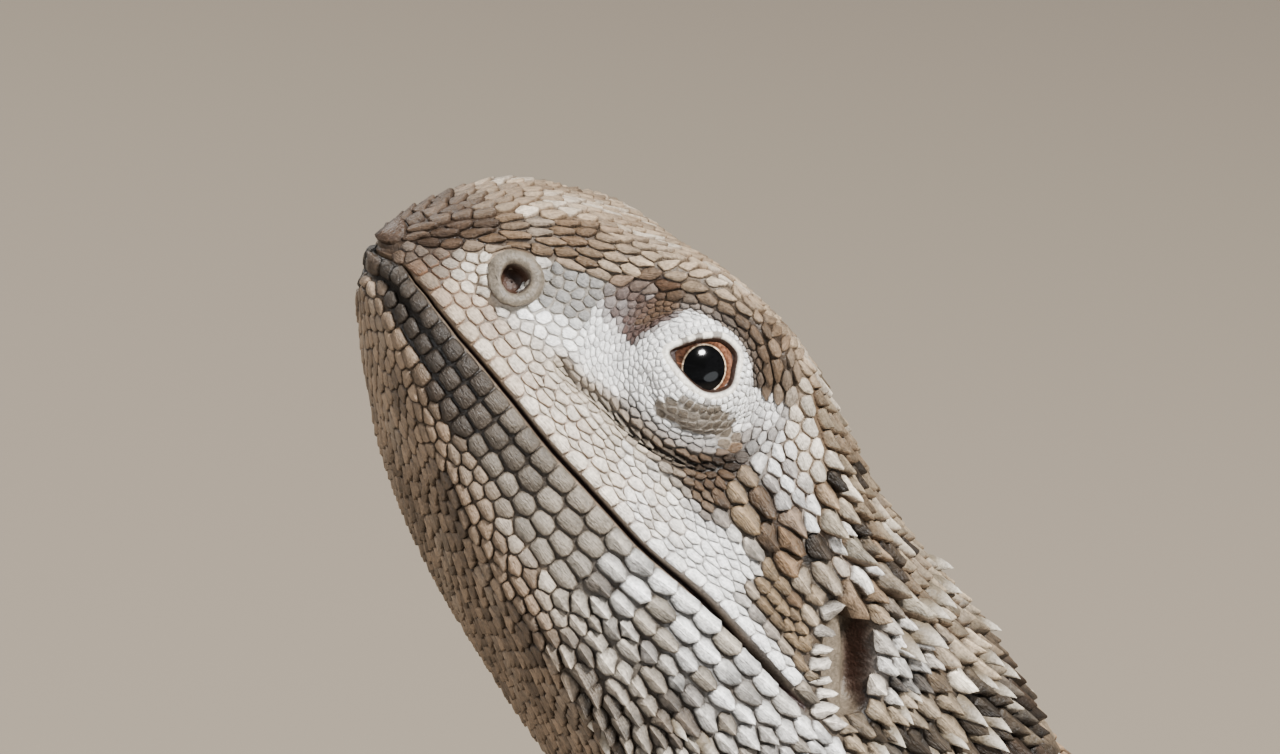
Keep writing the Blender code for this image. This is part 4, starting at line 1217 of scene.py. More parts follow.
def unwrapped(seeds, x, y):
    """Each scale as a small patch at its root's place on the skin, unrolled along and round."""
    low, high = seeds["s"].min(), seeds["s"].max()
    middle = np.column_stack([(seeds["s"] - low) / (high - low), seeds["c"] / CORNERS]) * 0.99 + 0.005
    size = np.maximum(np.hypot(x, y).max(1), 1e-3)[:, None]
    return middle[:, None] + np.stack([x / size, y / size], -1) * PATCH


def scale_colours(seeds):
    """Each scale's colour, its crest's with painted highlight, its rear's dark tip and painted shade,
    its own number.
    """
    count = len(seeds["s"])
    colour = seeds["colour"] * random.normal(1, SHADE_SPREAD, count)[:, None]
    stain = (random.uniform(size=count) ** 4)[:, None] * MOST_STAIN
    mark = random.uniform(0, 99, (count, 1))
    colour = colour + (seeds["groove"] - colour) * stain
    # A sharp keel's crest is lighter: partly its own pale keel, partly a painted highlight.
    sharp = np.clip((seeds["keel"][:, None] - 0.15) / 0.35, 0, 1)
    # Some scales' rears are darker: partly their own dark tips, partly painted shade.
    dark_tip_and_shade = 0.1 - 0.8 * (random.uniform(size=count) ** 1.6)[:, None]
    return colour, colour * (1 + CREST_PALE_AND_HIGHLIGHT * sharp), dark_tip_and_shade, mark


def scale_rings(seeds, reach, turn):
    """The scales' points, as ways back, across and up, with their tints and grain, from root to top."""
    stretch = np.sqrt(seeds["length"] / seeds["width"])[:, None]
    cos, sin = np.cos(turn)[None], np.sin(turn)[None]
    height, keel, lift = (seeds[k][:, None] for k in ("height", "keel", "lift"))
    keeled = np.clip(keel / FULL_KEEL, 0, 1)
    rear = np.clip(cos, 0, 1) ** 2
    point = (1 + rear * (0.10 + 0.7 * lift)) * (1 - 1.2 * lift * np.clip(cos, 0, 1) * np.abs(sin))
    colour, crest_with_highlight, dark_tip_and_shade, mark = scale_colours(seeds)
    groove = seeds["groove"][:, None]
    rings = []
    for share, rise, amount in SCALE_RINGS + [(0, 1, 1)]:
        wide = reach * share * (point if share < 1 else 1 + (point - 1) * 0.9)
        along, across = share * cos, np.abs(share * sin)
        rearward = (along + 1) / 2
        up = height * rise * (1 - 0.5 * keeled * across)
        if share < 1:
            up = up + keel * (1 - across) * (0.35 + 0.65 * rearward) + lift * rearward**2
        # A painted highlight along a keel's ridge, painted shade on its flanks, and a darker rear (own
        # tip and painted shade).
        ridge = keeled * np.clip(1 - across / 0.25, 0, 1)
        tint = colour[:, None] + (crest_with_highlight - colour)[:, None] * ridge[..., None]
        tint = tint * (1 - 0.4 * keeled * np.clip(across / 0.6, 0, 1) + dark_tip_and_shade * rear * keeled)[..., None]
        tint = groove + (tint - groove) * amount
        # The root ring, down in the groove, is darkened with painted shade.
        tint = tint * (ROOT_PAINTED_SHADE if share == 1 else 1.0)
        grain = np.stack(np.broadcast_arrays(along, share * sin, mark), -1)
        rings.append((wide * cos * stretch, wide * sin / stretch, up + 0 * reach, tint, grain))
    return [np.concatenate(values, 1)[:, : scale_points(len(turn))] for values in zip(*rings)]


def scale_points(directions):
    """How many points a scale has: its rings and its top."""
    return len(SCALE_RINGS) * directions + 1


def scale_faces(count, directions):
    """The rings' quads and the tops' triangles of so many scales."""
    top = scale_points(directions) - 1
    k = np.arange(directions)
    last = top - directions
    fan = np.column_stack([last + k, last + (k + 1) % directions, np.full(directions, top)])
    quads = np.array(grid_faces(len(SCALE_RINGS), directions))
    starts = (np.arange(count) * (top + 1))[:, None, None]
    return [(quads + starts).reshape(-1, 4), (fan + starts).reshape(-1, 3)]


def coat(name, seeds, every, surface, directions, material):
    """One piece's scales as a joined mesh: domes with keels, raised at the rear where they overlap."""
    x, y, up, tint, grain = scale_rings(seeds, *outlines(seeds, every, directions))
    side = np.cross(seeds["out"], seeds["back"])
    flat = seeds["place"][:, None] + x[..., None] * seeds["back"][:, None] + y[..., None] * side[:, None]
    base, normal, _ = surface.nearest(flat.reshape(-1, 3))
    lean = unit(normal + 1.5 * np.repeat(seeds["out"], x.shape[1], 0))
    points = base + lean * up.reshape(-1, 1)
    obj = mesh_object(name, points, scale_faces(len(x), directions), material)
    crisp = (seeds["keel"] > CRISP_KEEL)[:, None]
    tops = np.repeat([False, True], [directions, (len(SCALE_RINGS) - 2) * directions])
    smooth = ~np.concatenate([(crisp & tops).ravel(), np.repeat(crisp, directions)])
    obj.data.polygons.foreach_set("use_smooth", smooth)
    put_tint(obj, np.clip(tint.reshape(-1, 3), 0, 1))
    layer = obj.data.attributes.new("grain", "FLOAT_VECTOR", "POINT")
    layer.data.foreach_set("vector", grain.astype(np.float32).ravel())
    put_map(obj, unwrapped(seeds, x, y).reshape(-1, 2))


# Materials.


class Look:
    """A material whose nodes are made by short calls. A value is a number or another node's output."""

    def __init__(self, name):
        self.material = bpy.data.materials.new(name)
        self.material.use_nodes = True
        self.tree = self.material.node_tree
        self.shader = self.tree.nodes["Principled BSDF"]

    def put(self, value, socket):
        if isinstance(value, bpy.types.NodeSocket):
            self.tree.links.new(value, socket)
        else:
            socket.default_value = value

    def put_all(self, values, node):
        for key, value in values.items():
            self.put(value, node.inputs[key.replace("_", " ")])

    def node(self, kind, result=0, settings=(), **values):
        """A node's output, with its settings and the values of its named inputs."""
        made = self.tree.nodes.new(kind)
        for key, value in dict(settings).items():
            setattr(made, key, value)
        self.put_all(values, made)
        return made.outputs[result]

    def attribute(self, name, result):
        return self.node("ShaderNodeAttribute", result, {"attribute_name": name})

    def sum_up(self, kind, operation, *values):
        """The output of a node that reckons with numbers or with vectors."""
        made = self.tree.nodes.new(kind)
        made.operation = operation
        for value, socket in zip(values, made.inputs):
            self.put(value, socket)
        return made.outputs[0]

    def number(self, operation, *values):
        return self.sum_up("ShaderNodeMath", operation, *values)

    def noise(self, vector, scale, detail):
        return self.node("ShaderNodeTexNoise", "Fac", Vector=vector, Scale=scale, Detail=detail)

    def ranged(self, value, low, high, to_low, to_high):
        return self.node("ShaderNodeMapRange", "Result", Value=value, From_Min=low, From_Max=high,
                         To_Min=to_low, To_Max=to_high)

    def scaled(self, colour, scale):
        return self.node("ShaderNodeVectorMath", 0, {"operation": "SCALE"}, Vector=colour, Scale=scale)

    def finish(self, **values):
        self.put_all(values, self.shader)
        return self.material


# How much finer the streaks are across a scale than along it.
STREAK_STRETCH = (1.1, 4.6, 1.0)


def scale_material(name, roughness, mottle, relief):
    """Skin coloured by its own attributes, with mottling, streaks along each scale and fine relief."""
    look = Look(name)
    own = look.attribute("grain", "Vector")
    place = look.node("ShaderNodeTexCoord", "Object")
    stretched = look.sum_up("ShaderNodeVectorMath", "MULTIPLY", own, STREAK_STRETCH)
    streaks = look.noise(stretched, 1.6, 3)
    grain = look.noise(place, 5200, 4)
    cloud = look.noise(place, 1300, 2)
    level = look.number("MULTIPLY_ADD", streaks, 0.9, look.number("MULTIPLY_ADD", cloud, 0.6, grain))
    light = look.ranged(level, 0.95, 1.55, 1 - mottle, 1 + mottle * 0.55)
    height = look.number("MULTIPLY_ADD", streaks, 1.3, grain)
    return look.finish(
        Base_Color=look.scaled(look.attribute("tint", "Color"), light),
        Roughness=look.ranged(level, 0.9, 1.6, roughness - 0.1, roughness + 0.14),
        Normal=look.node("ShaderNodeBump", "Normal", Strength=relief, Distance=0.0001, Height=height),
        Specular_IOR_Level=0.25,
    )


# The body's skin.

TRUNK_VOXEL = 1.3
FOOT_VOXEL = 0.5
TRUNK_COLUMNS = 96
TAIL_COLUMNS = 56
# How high over the floor the skin lies at least, as the lowest point that it may have.
OVER_FLOOR = (-np.inf, -np.inf, 0.1)
FEET_OVER_FLOOR = (-np.inf, -np.inf, 0.08)
BODY_BACK = HEAD_LENGTH + NECK_SPAN


def column_lengths():
    """The coordinate s at even steps of the stations, from the neck's root to the tail's tip."""
    u = np.linspace(TRUNK_END, 0, 400)
    line = through(STATIONS, u)[:, :3]
    steps = np.linalg.norm(np.diff(line, axis=0), axis=1)
    return u, BODY_BACK + np.concatenate([[0], np.cumsum(steps)])


COLUMN_U, COLUMN_S = column_lengths()
TAIL_ROOT_S = float(np.interp(-TAIL_STATIONS, -COLUMN_U, COLUMN_S))
TAIL_TIP_S = float(COLUMN_S[-1])


def body_point(s, c):
    """Points of the solids' neck, trunk and tail at the skin's own coordinates."""
    out = np.empty((len(s), 3))
    neck = s < BODY_BACK
    out[neck] = neck_point(1 - (s[neck] - HEAD_LENGTH) / NECK_SPAN, c[neck])
    out[~neck] = column_point(np.interp(s[~neck], COLUMN_S, COLUMN_U), c[~neck])
    return out


def body_grid(rows, columns):
    c = np.arange(columns) * CORNERS / columns
    s, c = np.meshgrid(rows, c, indexing="ij")
    grid = body_point(s.ravel(), c.ravel()).reshape(*s.shape, 3)
    return grid, grid_normals(grid)


def capped(grid):
    """Points and faces of a grid of rings, with both ends closed."""
    rows, columns = grid.shape[:2]
    points = np.vstack([grid.reshape(-1, 3), grid[0].mean(0), grid[-1].mean(0)])
    faces = grid_faces(rows, columns)
    k = np.arange(columns)
    j = (k + 1) % columns
    first, last = rows * columns, rows * columns + 1
    faces += [(int(b), int(a), first) for a, b in zip(k, j)]
    end = (rows - 1) * columns
    faces += [(int(end + a), int(end + b), last) for a, b in zip(k, j)]
    return points, faces


def tangent(stations, u, reach=0.6):
    ahead = through(stations, min(u + reach, len(stations) - 1))[0]
    return unit(ahead[:3] - through(stations, max(u - reach, 0))[0][:3])


def tube(stations, steps, count, less=0.0):
    rings = []
    for u in np.linspace(0, len(stations) - 1, steps):
        here = through(stations, u)[0]
        forward = tangent(stations, u)
        across = unit(np.cross((0, 0, 1), forward))
        up = np.cross(forward, across)
        turn = np.linspace(0, 2 * math.pi, count, endpoint=False)[:, None]
        wide, deep = max(here[3] - less, 0.1), max(here[4] - less, 0.1)
        rings.append(here[:3] + wide * np.cos(turn) * across + deep * np.sin(turn) * up)
    return np.array(rings)


def level_direction(heading, side):
    angle = math.radians(heading) * side
    return np.array((math.cos(angle), math.sin(angle), 0))


def legs():
    """Every leg: (stations on its own side, side, heading, digits, names of its nodes)."""
    found = []
    for side, word in ((1, "left"), (-1, "right")):
        for joints, shift, heading, digits, names in (
            (FORELEG, RIGHT_FOREFOOT_SHIFT, FINGER_HEADING, FINGERS, ("upper_arm", "forearm", "hand")),
            (HIND_LEG, RIGHT_HINDFOOT_SHIFT, TOE_HEADING, TOES, ("thigh", "shank", "foot")),
        ):
            stations = np.array(joints, float)
            if side < 0:
                stations[:, :3] += shift * np.linspace(0, 1, len(joints))[:, None]
                stations[:, 1] *= -1
            found.append((stations, side, heading, digits, [f"{n}_{word}" for n in names]))
    return found


LEGS = legs()


def digit_path(ankle, heading, side, turn, length, aside):
    ahead = level_direction(heading + turn, side)
    across = level_direction(heading + 90, side)
    knuckle = ankle * (1, 1, 0) + level_direction(heading, side) * (FOOT[-1][0] - 1.5) + across * aside
    path = []
    for share, size, height in DIGIT:
        here = knuckle + ahead * length * share
        path.append((here[0], here[1], height, DIGIT_RADIUS * size, DIGIT_RADIUS * size))
    tip = knuckle + ahead * (length + GAP) + np.array((0, 0, 1.0))
    return np.array(path), ahead, tip


def foot_parts(stations, side, heading, digits):
    ankle = stations[-1, :3]
    ahead = level_direction(heading, side)
    across = np.array((-ahead[1], ahead[0], 0))
    turn = np.linspace(0, 2 * math.pi, 20, endpoint=False)[:, None]
    sections = through(FOOT, np.linspace(0, len(FOOT) - 1, 16))
    rings = []
    for distance, width, height in sections:
        middle = ankle * (1, 1, 0) + ahead * distance + np.array((0, 0, height - SINK))
        wide, tall = max(width - COAT, 0.2), max(height - COAT, 0.2)
        rings.append(middle + wide * np.cos(turn) * across + tall * np.sin(turn) * (0, 0, 1))
    parts = [capped(np.array(rings))]
    for turn_by, length, aside in digits:
        path, _, _ = digit_path(ankle, heading, side, turn_by, length, aside)
        parts.append(capped(tube(path, 22, 12, COAT * 0.8)))
    return parts


def tinted_piece(name, parts, tints, material):
    """Several meshes as one piece, with a colour at each point."""
    points, faces = stacked(parts)
    obj = mesh_object(name, points, [faces], material)
    put_tint(obj, tints)
    return obj


def stacked(parts):
    """The points and faces of several meshes as one mesh."""
    points, faces, start = [], [], 0
    for p, f in parts:
        points.append(p)
        faces += [tuple(i + start for i in face) for face in f]
        start += len(p)
    return np.vstack(points), faces


def fused(parts, voxel, smoothing):
    """Several closed meshes as one, remeshed evenly and smoothed where they meet."""
    points, faces = stacked(parts)
    mesh = bpy.data.meshes.new("fused")
    mesh.from_pydata((points * MM).tolist(), [], faces)
    obj = in_scene("fused", mesh)
    bm = bmesh.new()
    bm.from_mesh(mesh)
    bmesh.ops.recalc_face_normals(bm, faces=bm.faces)
    bm.to_mesh(mesh)
    bm.free()
    remesh = obj.modifiers.new("even", "REMESH")
    remesh.mode = "VOXEL"
    remesh.voxel_size = voxel * MM
    smooth = obj.modifiers.new("smooth", "SMOOTH")
    smooth.factor = 0.5
    smooth.iterations = smoothing
    result = obj.evaluated_get(bpy.context.evaluated_depsgraph_get()).to_mesh()
    out = np.array([v.co for v in result.vertices]) / MM
    out_faces = [tuple(p.vertices) for p in result.polygons]
    bpy.data.objects.remove(obj)
    return out, out_faces


def trunk_surface():
    rows = np.arange(HEAD_LENGTH + 0.55 * NECK_SPAN, TAIL_ROOT_S + 14, 1.6)
    grid, normals = body_grid(rows, TRUNK_COLUMNS)
    tuck = 0.5 * ramp(rows, rows[0] + 5, rows[0]) + 0.5 * ramp(rows, rows[-1] - 6, rows[-1])
    folds = 0.3 * waves(grid.reshape(-1, 3), 9, 31).reshape(grid.shape[:2]) - 0.25
    parts = [capped(grid - normals * (COAT + tuck[:, None] - folds)[..., None])]
    parts += [capped(tube(stations, 40, 24, COAT)) for stations, *_ in LEGS]
    points, faces = fused(parts, TRUNK_VOXEL, 6)
    return Surface(np.maximum(points, OVER_FLOOR), faces)


def tail_surface():
    rows = np.arange(TAIL_ROOT_S + 6, TAIL_TIP_S, 1.5)
    grid, normals = body_grid(rows, TAIL_COLUMNS)
    tuck = 0.5 * ramp(rows, rows[0] + 6, rows[0])
    points, faces = capped(grid - normals * (COAT + tuck)[:, None, None])
    return Surface(np.maximum(points, OVER_FLOOR), faces)


def feet_surface():
    points, faces = stacked([fused(foot_parts(*leg[:4]), FOOT_VOXEL, 3) for leg in LEGS])
    return Surface(np.maximum(points, FEET_OVER_FLOOR), faces)


# Where a place of the body lies.

GUIDE_STEP = 1.5
GUIDE_ROWS = np.concatenate(
    [np.arange(HEAD_LENGTH, TAIL_ROOT_S, GUIDE_STEP), np.arange(TAIL_ROOT_S, TAIL_TIP_S, GUIDE_STEP)]
)
GUIDE_COLUMNS = 96
guide_grid, guide_out = body_grid(GUIDE_ROWS, GUIDE_COLUMNS)
guide = Surface(guide_grid.reshape(-1, 3), grid_faces(len(GUIDE_ROWS), GUIDE_COLUMNS))


def leg_lines():
    """Points of the legs' and digits' middle lines, with the way on, the leg's number and the share."""
    found = []
    for number, (stations, side, heading, digits, _) in enumerate(LEGS):
        for u in np.linspace(0.8, 4, 60):
            found.append((through(stations, u)[0][:3], tangent(stations, u), number, u))
        for turn_by, length, aside in digits:
            path, ahead, _ = digit_path(stations[-1, :3], heading, side, turn_by, length, aside)
            for u in np.linspace(0, len(path) - 1, 12):
                found.append((through(path, u)[0][:3], ahead, number, 4.6 + u))
        ahead = level_direction(heading, side)
        for distance in np.linspace(-2, 7, 8):
            here = stations[-1, :3] * (1, 1, 0) + ahead * distance + (0, 0, 2.2)
            found.append((here, ahead, number, 4.3))
    return [np.array(values) for values in zip(*found)]


LEG_PLACE, LEG_ONWARD, LEG_WHICH, LEG_SHARE = leg_lines()
leg_tree = tree_of(LEG_PLACE)

# Body scales by region, each laid over those before it:
# (s from, s to, c from, c to, length, width, height, keel, lift, scale colour, groove colour).
BODY_REGIONS = [
    (0, 999, -1, 9, 2.1, 1.7, 0.34, 0.26, 0.34, DUSK, BROWN),
    (0, 999, -1, 2.6, 2.3, 1.8, 0.36, 0.34, 0.40, TAN, BROWN),
    (0, 999, 2.6, 4.6, 2.0, 1.6, 0.34, 0.30, 0.40, DUSK, BROWN),
    (0, 999, 5.2, 9, 2.0, 1.75, 0.26, 0.06, 0.16, BELLY, TAN),
    (0, 76, 5.2, 9, 2.0, 1.6, 0.26, 0.30, 0.30, GREY, SMOKE),
    (TAIL_ROOT_S + 4, 999, -1, 9, 2.5, 1.7, 0.32, 0.36, 0.32, SAND, BROWN),
    (TAIL_ROOT_S + 4, 999, 5.5, 9, 2.4, 1.6, 0.26, 0.16, 0.18, BELLY, TAN),
    (TAIL_ROOT_S + 110, 999, -1, 9, 1.9, 1.25, 0.24, 0.26, 0.24, SAND, BROWN),
    (TAIL_ROOT_S + 180, 999, -1, 9, 1.4, 0.85, 0.15, 0.15, 0.15, SAND, BROWN),
]
LEG_FORM = (1.9, 1.5, 0.30, 0.30, 0.36)
# The limbs' share of the coordinate s, so that each lies apart from the trunk on the unrolled skin.
LIMB_S = 500
LIMB_S_STEP = 220
FOOT_FORM = (1.2, 1.05, 0.20, 0.14, 0.18)
BODY_SOFT = (3.0, 0.4)
# The way from one of the back's bars, or of the tail's bands, to the next.
BAR_STEP = 15.0
BAND_STEP = 13.0


def body_forms(s, c, leg, share):
    forms = regions_laid(BODY_REGIONS, s, c, BODY_SOFT)
    foot = ramp(share, 3.6, 4.2)[:, None]
    limb = np.array(LEG_FORM) * (1 - foot) + np.array(FOOT_FORM) * foot
    limb = np.hstack([limb, np.tile(np.concatenate([SAND, BROWN]), (len(s), 1))])
    return forms + (limb - forms) * leg[:, None]


def body_marks(p, s, c, leg, share, colours):
    """The back's paired ovals and dark bars, the flanks' mottling, the limbs' and the tail's bands."""
    cm = half_section(c)
    paint = Paint(colours)
    lay = paint.lay
    fine, broad = waves(p, 2.4, 41), waves(p, 7.0, 43)
    # The trunk: bars, ovals, the line of the spine, flanks and belly.
    trunk = (1 - leg) * ramp(s, 60, 72) * ramp(s, TAIL_ROOT_S + 6, TAIL_ROOT_S - 6)
    step = (s - 80) / BAR_STEP
    phase = step - np.floor(step)
    back = ramp(cm, 3.4, 2.6)
    bar = ramp(np.abs(phase - 0.5) + 0.06 * fine, 0.30, 0.42) * back
    lay(BROWN, trunk * 0.75 * bar)
    lay(DARK, trunk * 0.45 * bar * ramp(broad + fine, 0.2, 1.0))
    oval = np.hypot((phase - 0.5) * BAR_STEP / 4.6, (cm - 1.25) * 4.6 / 3.2) + 0.16 * fine
    lay(CREAM, trunk * 0.62 * ramp(oval, 1.15, 0.8))
    spine_line = ramp(cm, 0.35, 0.15)
    lay(SAND, trunk * 0.5 * spine_line)
    flank = ramp(cm, 2.6, 3.2) * ramp(cm, 5.4, 4.8)
    lay(BROWN, trunk * 0.55 * flank * ramp(fine + 0.7 * broad, 0.3, 1.0))
    lay(CREAM, trunk * 0.4 * flank * ramp(-fine, 0.3, 1.0))
    belly = ramp(cm, 5.6, 6.2)
    lay(GREY, trunk * 0.4 * belly * ramp(broad, 0.3, 0.9))
    # The neck, the tail and the limbs.
    neck = (1 - leg) * ramp(s, 78, 60)
    lay(DARK, neck * 0.75 * ramp(waves(p, 4.0, 21), 0.2, 0.6))
    lay(PEARL, neck * 0.35 * ramp(-waves(p, 4.0, 23), 0.3, 0.8) * ramp(cm, 1, 2) * ramp(cm, 5.5, 5))
    for spot_s, spot_c, radius in NECK_SPOTS:
        near = ramp(from_spot(p, spot_s, spot_c) + 0.3 * fine, radius * 1.2, radius * 0.8)
        lay(INK, 0.95 * neck * near)
    tail = (1 - leg) * ramp(s, TAIL_ROOT_S - 2, TAIL_ROOT_S + 8)
    ring = (s - TAIL_ROOT_S) / BAND_STEP
    ring = ring - np.floor(ring)
    band = ramp(np.abs(ring - 0.5) + 0.05 * fine, 0.24, 0.34) * ramp(cm, 6.2, 5.2)
    lay(BROWN, tail * 0.8 * band)
    lay(CREAM, tail * 0.35 * (1 - band) * ramp(-fine, 0.0, 0.8))
    stripe = np.sin(share * 7.5 + 0.5 * fine)
    lay(BROWN, leg * 0.6 * ramp(stripe, 0.15, 0.6) * ramp(share, 4.9, 4.3))
    lay(CREAM, leg * 0.4 * ramp(-stripe, 0.4, 0.9))
    lay(BROWN, leg * 0.35 * ramp(share, 4.9, 5.6))
    return np.clip(paint.colours, 0, 1)


def body_seeds_at(surface, legs_only=False):
    def at(place, face):
        normal = unit(surface.vertex_normals[surface.padded[face]].sum(1))
        near, _, guide_face = guide.nearest(place)
        i, j = np.divmod(guide_face, GUIDE_COLUMNS)
        s, c = GUIDE_ROWS[i], j * CORNERS / GUIDE_COLUMNS
        away = ((place - near) * guide_out[i, j]).sum(1)
        hit = np.array([leg_tree.find(p)[1] for p in place.tolist()])
        leg = np.ones(len(s)) if legs_only else ramp(away, 0.3, 3.0)
        share = LEG_SHARE[hit]
        trunkward = unit(guide_grid[np.minimum(i + 1, len(GUIDE_ROWS) - 1), j] - guide_grid[i, j])
        back = trunkward * (1 - leg[:, None]) + LEG_ONWARD[hit] * leg[:, None]
        back = flattened(back, normal)
        forms = body_forms(s, c, leg, share)
        marked = body_marks(place, s, c, leg, share, forms[:, 5:8])
        limb_s = LIMB_S + LIMB_S_STEP * LEG_WHICH[hit] + 20 * share
        return seeds_from(forms, marked, place, normal, back, np.where(leg > 0.5, limb_s, s), c)

    return at

# Eyes, lids, nostrils and ears.

PUPIL_RADIUS = 1.39
PUPIL_NARROW = 0.93
IRIS_RADIUS = 2.35
CORNEA_RISE = 0.14
# The ball's rear half counts as this far from the pupil.
FAR_BACK = 9.0


def gaze():
    """The direction in which the left eye looks, with two directions across it."""
    x, y = PUPIL_AT
    ahead = unit(EYE_SNOUTWARD * x + EYE_UP * y + EYE_OUT * math.sqrt(LID_RADIUS**2 - x * x - y * y))
    across = unit(EYE_SNOUTWARD - ahead * (EYE_SNOUTWARD @ ahead))
    return ahead, across, np.cross(ahead, across)


def make_eye(side, word, material):
    """A ball with a raised cornea; its own attributes say how far a place is from the pupil's middle."""
    ahead, across, upright = gaze()
    tilt = np.concatenate([np.linspace(0, 0.62, 26), np.linspace(0.66, math.pi, 22)])[:, None]
    turn = np.linspace(0, 2 * math.pi, 64, endpoint=False)[None]
    flat = EYE_RADIUS * np.sin(tilt) * np.hypot(np.cos(turn) / PUPIL_NARROW, np.sin(turn))
    rise = CORNEA_RISE * ramp(EYE_RADIUS * tilt, IRIS_RADIUS + 0.7, 0.5)
    r = EYE_RADIUS + rise + 0 * turn
    d = (np.cos(tilt) + 0 * turn)[..., None] * ahead
    d = d + (np.sin(tilt) * np.cos(turn))[..., None] * across
    d = d + (np.sin(tilt) * np.sin(turn))[..., None] * upright
    local = (EYE_CENTRE + r[..., None] * d) * (1, side, 1)
    points = head_to_world(local.reshape(-1, 3))
    faces = np.array(grid_faces(len(tilt), turn.shape[1]))
    if side < 0:
        faces = faces[:, ::-1]
    obj = mesh_object(f"eyeball_{word}", points, [faces], material)
    from_pupil = np.where(tilt > math.pi / 2, FAR_BACK, flat)
    for name, value in (("from_pupil", from_pupil), ("turn", turn + 0 * tilt)):
        layer = obj.data.attributes.new(name, "FLOAT", "POINT")
        layer.data.foreach_set("value", value.astype(np.float32).ravel())
    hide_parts(f"eye_{word}")


PUPIL_BLACK = (0.001, 0.001, 0.0012)
# The eye's colours, by the distance from the pupil's middle.
IRIS_COLOURS = [
    (0.0, PUPIL_BLACK),
    (PUPIL_RADIUS, PUPIL_BLACK),
    (PUPIL_RADIUS + 0.03, (0.50, 0.40, 0.29)),
    (PUPIL_RADIUS + 0.08, (0.36, 0.24, 0.16)),
    (PUPIL_RADIUS + 0.13, (0.050, 0.020, 0.010)),
    (IRIS_RADIUS - 0.5, (0.13, 0.058, 0.034)),
    (IRIS_RADIUS, (0.024, 0.012, 0.007)),
    (IRIS_RADIUS + 0.5, (0.018, 0.011, 0.008)),
]
# The distance at the far end of the colour ramp.
IRIS_SPAN = 5.0
# The iris is darkest this far, in radians, above its snoutward corner: the front corner is darker, and
# the top carries painted shade from the upper lid.
DARK_CORNER = 0.6


def eye_material():
    look = Look("eye_wet")
    radius = look.attribute("from_pupil", "Fac")
    turn = look.attribute("turn", "Fac")
    spot = look.node("ShaderNodeCombineXYZ", "Vector", X=turn, Y=look.number("MULTIPLY", radius, 0.5))
    streaks = look.noise(spot, 9, 4)
    bands = look.tree.nodes.new("ShaderNodeValToRGB")
    elements = bands.color_ramp.elements
    while len(elements) < len(IRIS_COLOURS):
        elements.new(0.5)
    for element, (distance, colour) in zip(elements, IRIS_COLOURS):
        element.position = distance / IRIS_SPAN
        element.color = (*colour, 1)
    look.put(look.number("DIVIDE", radius, IRIS_SPAN), bands.inputs["Fac"])
    snoutward = look.number("COSINE", look.number("SUBTRACT", turn, DARK_CORNER))
    # Darker towards the front corner and the top: painted shade under the upper lid.
    corner_and_lid_shade = look.ranged(snoutward, 0.1, 0.9, 1.0, 0.28)
    fleck = look.ranged(streaks, 0.35, 0.65, 0.5, 1.7)
    return look.finish(
        Base_Color=look.scaled(bands.outputs["Color"], look.number("MULTIPLY", fleck, corner_and_lid_shade)),
        Roughness=0.12,
        Specular_IOR_Level=0.05,
        Coat_Weight=0.22,
        Coat_Roughness=0.01,
    )


# The lid's smooth margin, as (distance outside the opening, distance from the eye's centre).
LID_MARGIN = [(-0.22, 4.3), (-0.14, 4.78), (0.0, 5.02), (0.2, 5.16), (0.42, 5.14), (0.56, 4.9)]
MARGIN_CREAM = linear(0.86, 0.84, 0.80)
MARGIN_BROWN = linear(0.15, 0.095, 0.07)


def make_lid_margins(material):
    loop = smooth_loop(EYE_OPENING, 132)
    out = outward(loop, np.roll(loop, -1, 0) - np.roll(loop, 1, 0))
    margins, tints = [], []
    for side in (1, -1):
        rings = []
        for outside, r in LID_MARGIN:
            rings.append(on_eye(loop + out * outside, r, side))
            dashes_and_edge_shade = ramp(np.sin(np.arange(len(loop)) * 0.62), -0.3, 0.3)
            dashes_and_edge_shade = dashes_and_edge_shade * ramp(abs(outside - 0.31), 0.25, 0.15)
            dashes_and_edge_shade = dashes_and_edge_shade * ramp(loop[:, 1], 0.4, 0.8) * ramp(loop[:, 0], -1.2, -0.6)
            # The inner edge by the opening is darkened too: the lid's dark rim, partly painted shade.
            dashes_and_edge_shade = np.maximum(dashes_and_edge_shade * 0.8, ramp(outside, 0.22, 0.03))
            tints.append(MARGIN_CREAM + (MARGIN_BROWN - MARGIN_CREAM) * dashes_and_edge_shade[:, None])
        grid = np.array(rings)
        found = np.array(grid_faces(len(rings), len(loop)))
        corners = grid.reshape(-1, 3)[found]
        middle = corners.mean(1)
        normal = np.cross(corners[:, 2] - corners[:, 0], corners[:, 3] - corners[:, 1])
        centre = head_to_world(EYE_CENTRE * (1, side, 1))[0]
        if (normal * (middle - centre)).sum() < 0:
            found = found[:, ::-1]
        margins.append((grid.reshape(-1, 3), found))
    tinted_piece("eyelid_margins", margins, np.vstack(tints), material)


# The nostril's ring, as (distance from its middle, height over the skin), and its colours, the dark one
# painted shade.
NOSTRIL_RING = [
    (0.05, -1.15), (0.45, -1.15), (0.74, -0.9), (0.83, -0.3), (0.88, 0.10), (0.96, 0.34), (1.14, 0.44),
    (1.45, 0.42), (1.72, 0.34), (1.90, 0.12), (1.98, -0.30),
]
NOSTRIL_SHADE = linear(0.22, 0.15, 0.115)
NOSTRIL_PALE = linear(0.38, 0.348, 0.305)
# Nearer to the middle than this, the ring turns inward.
NOSTRIL_INSIDE = 1.25


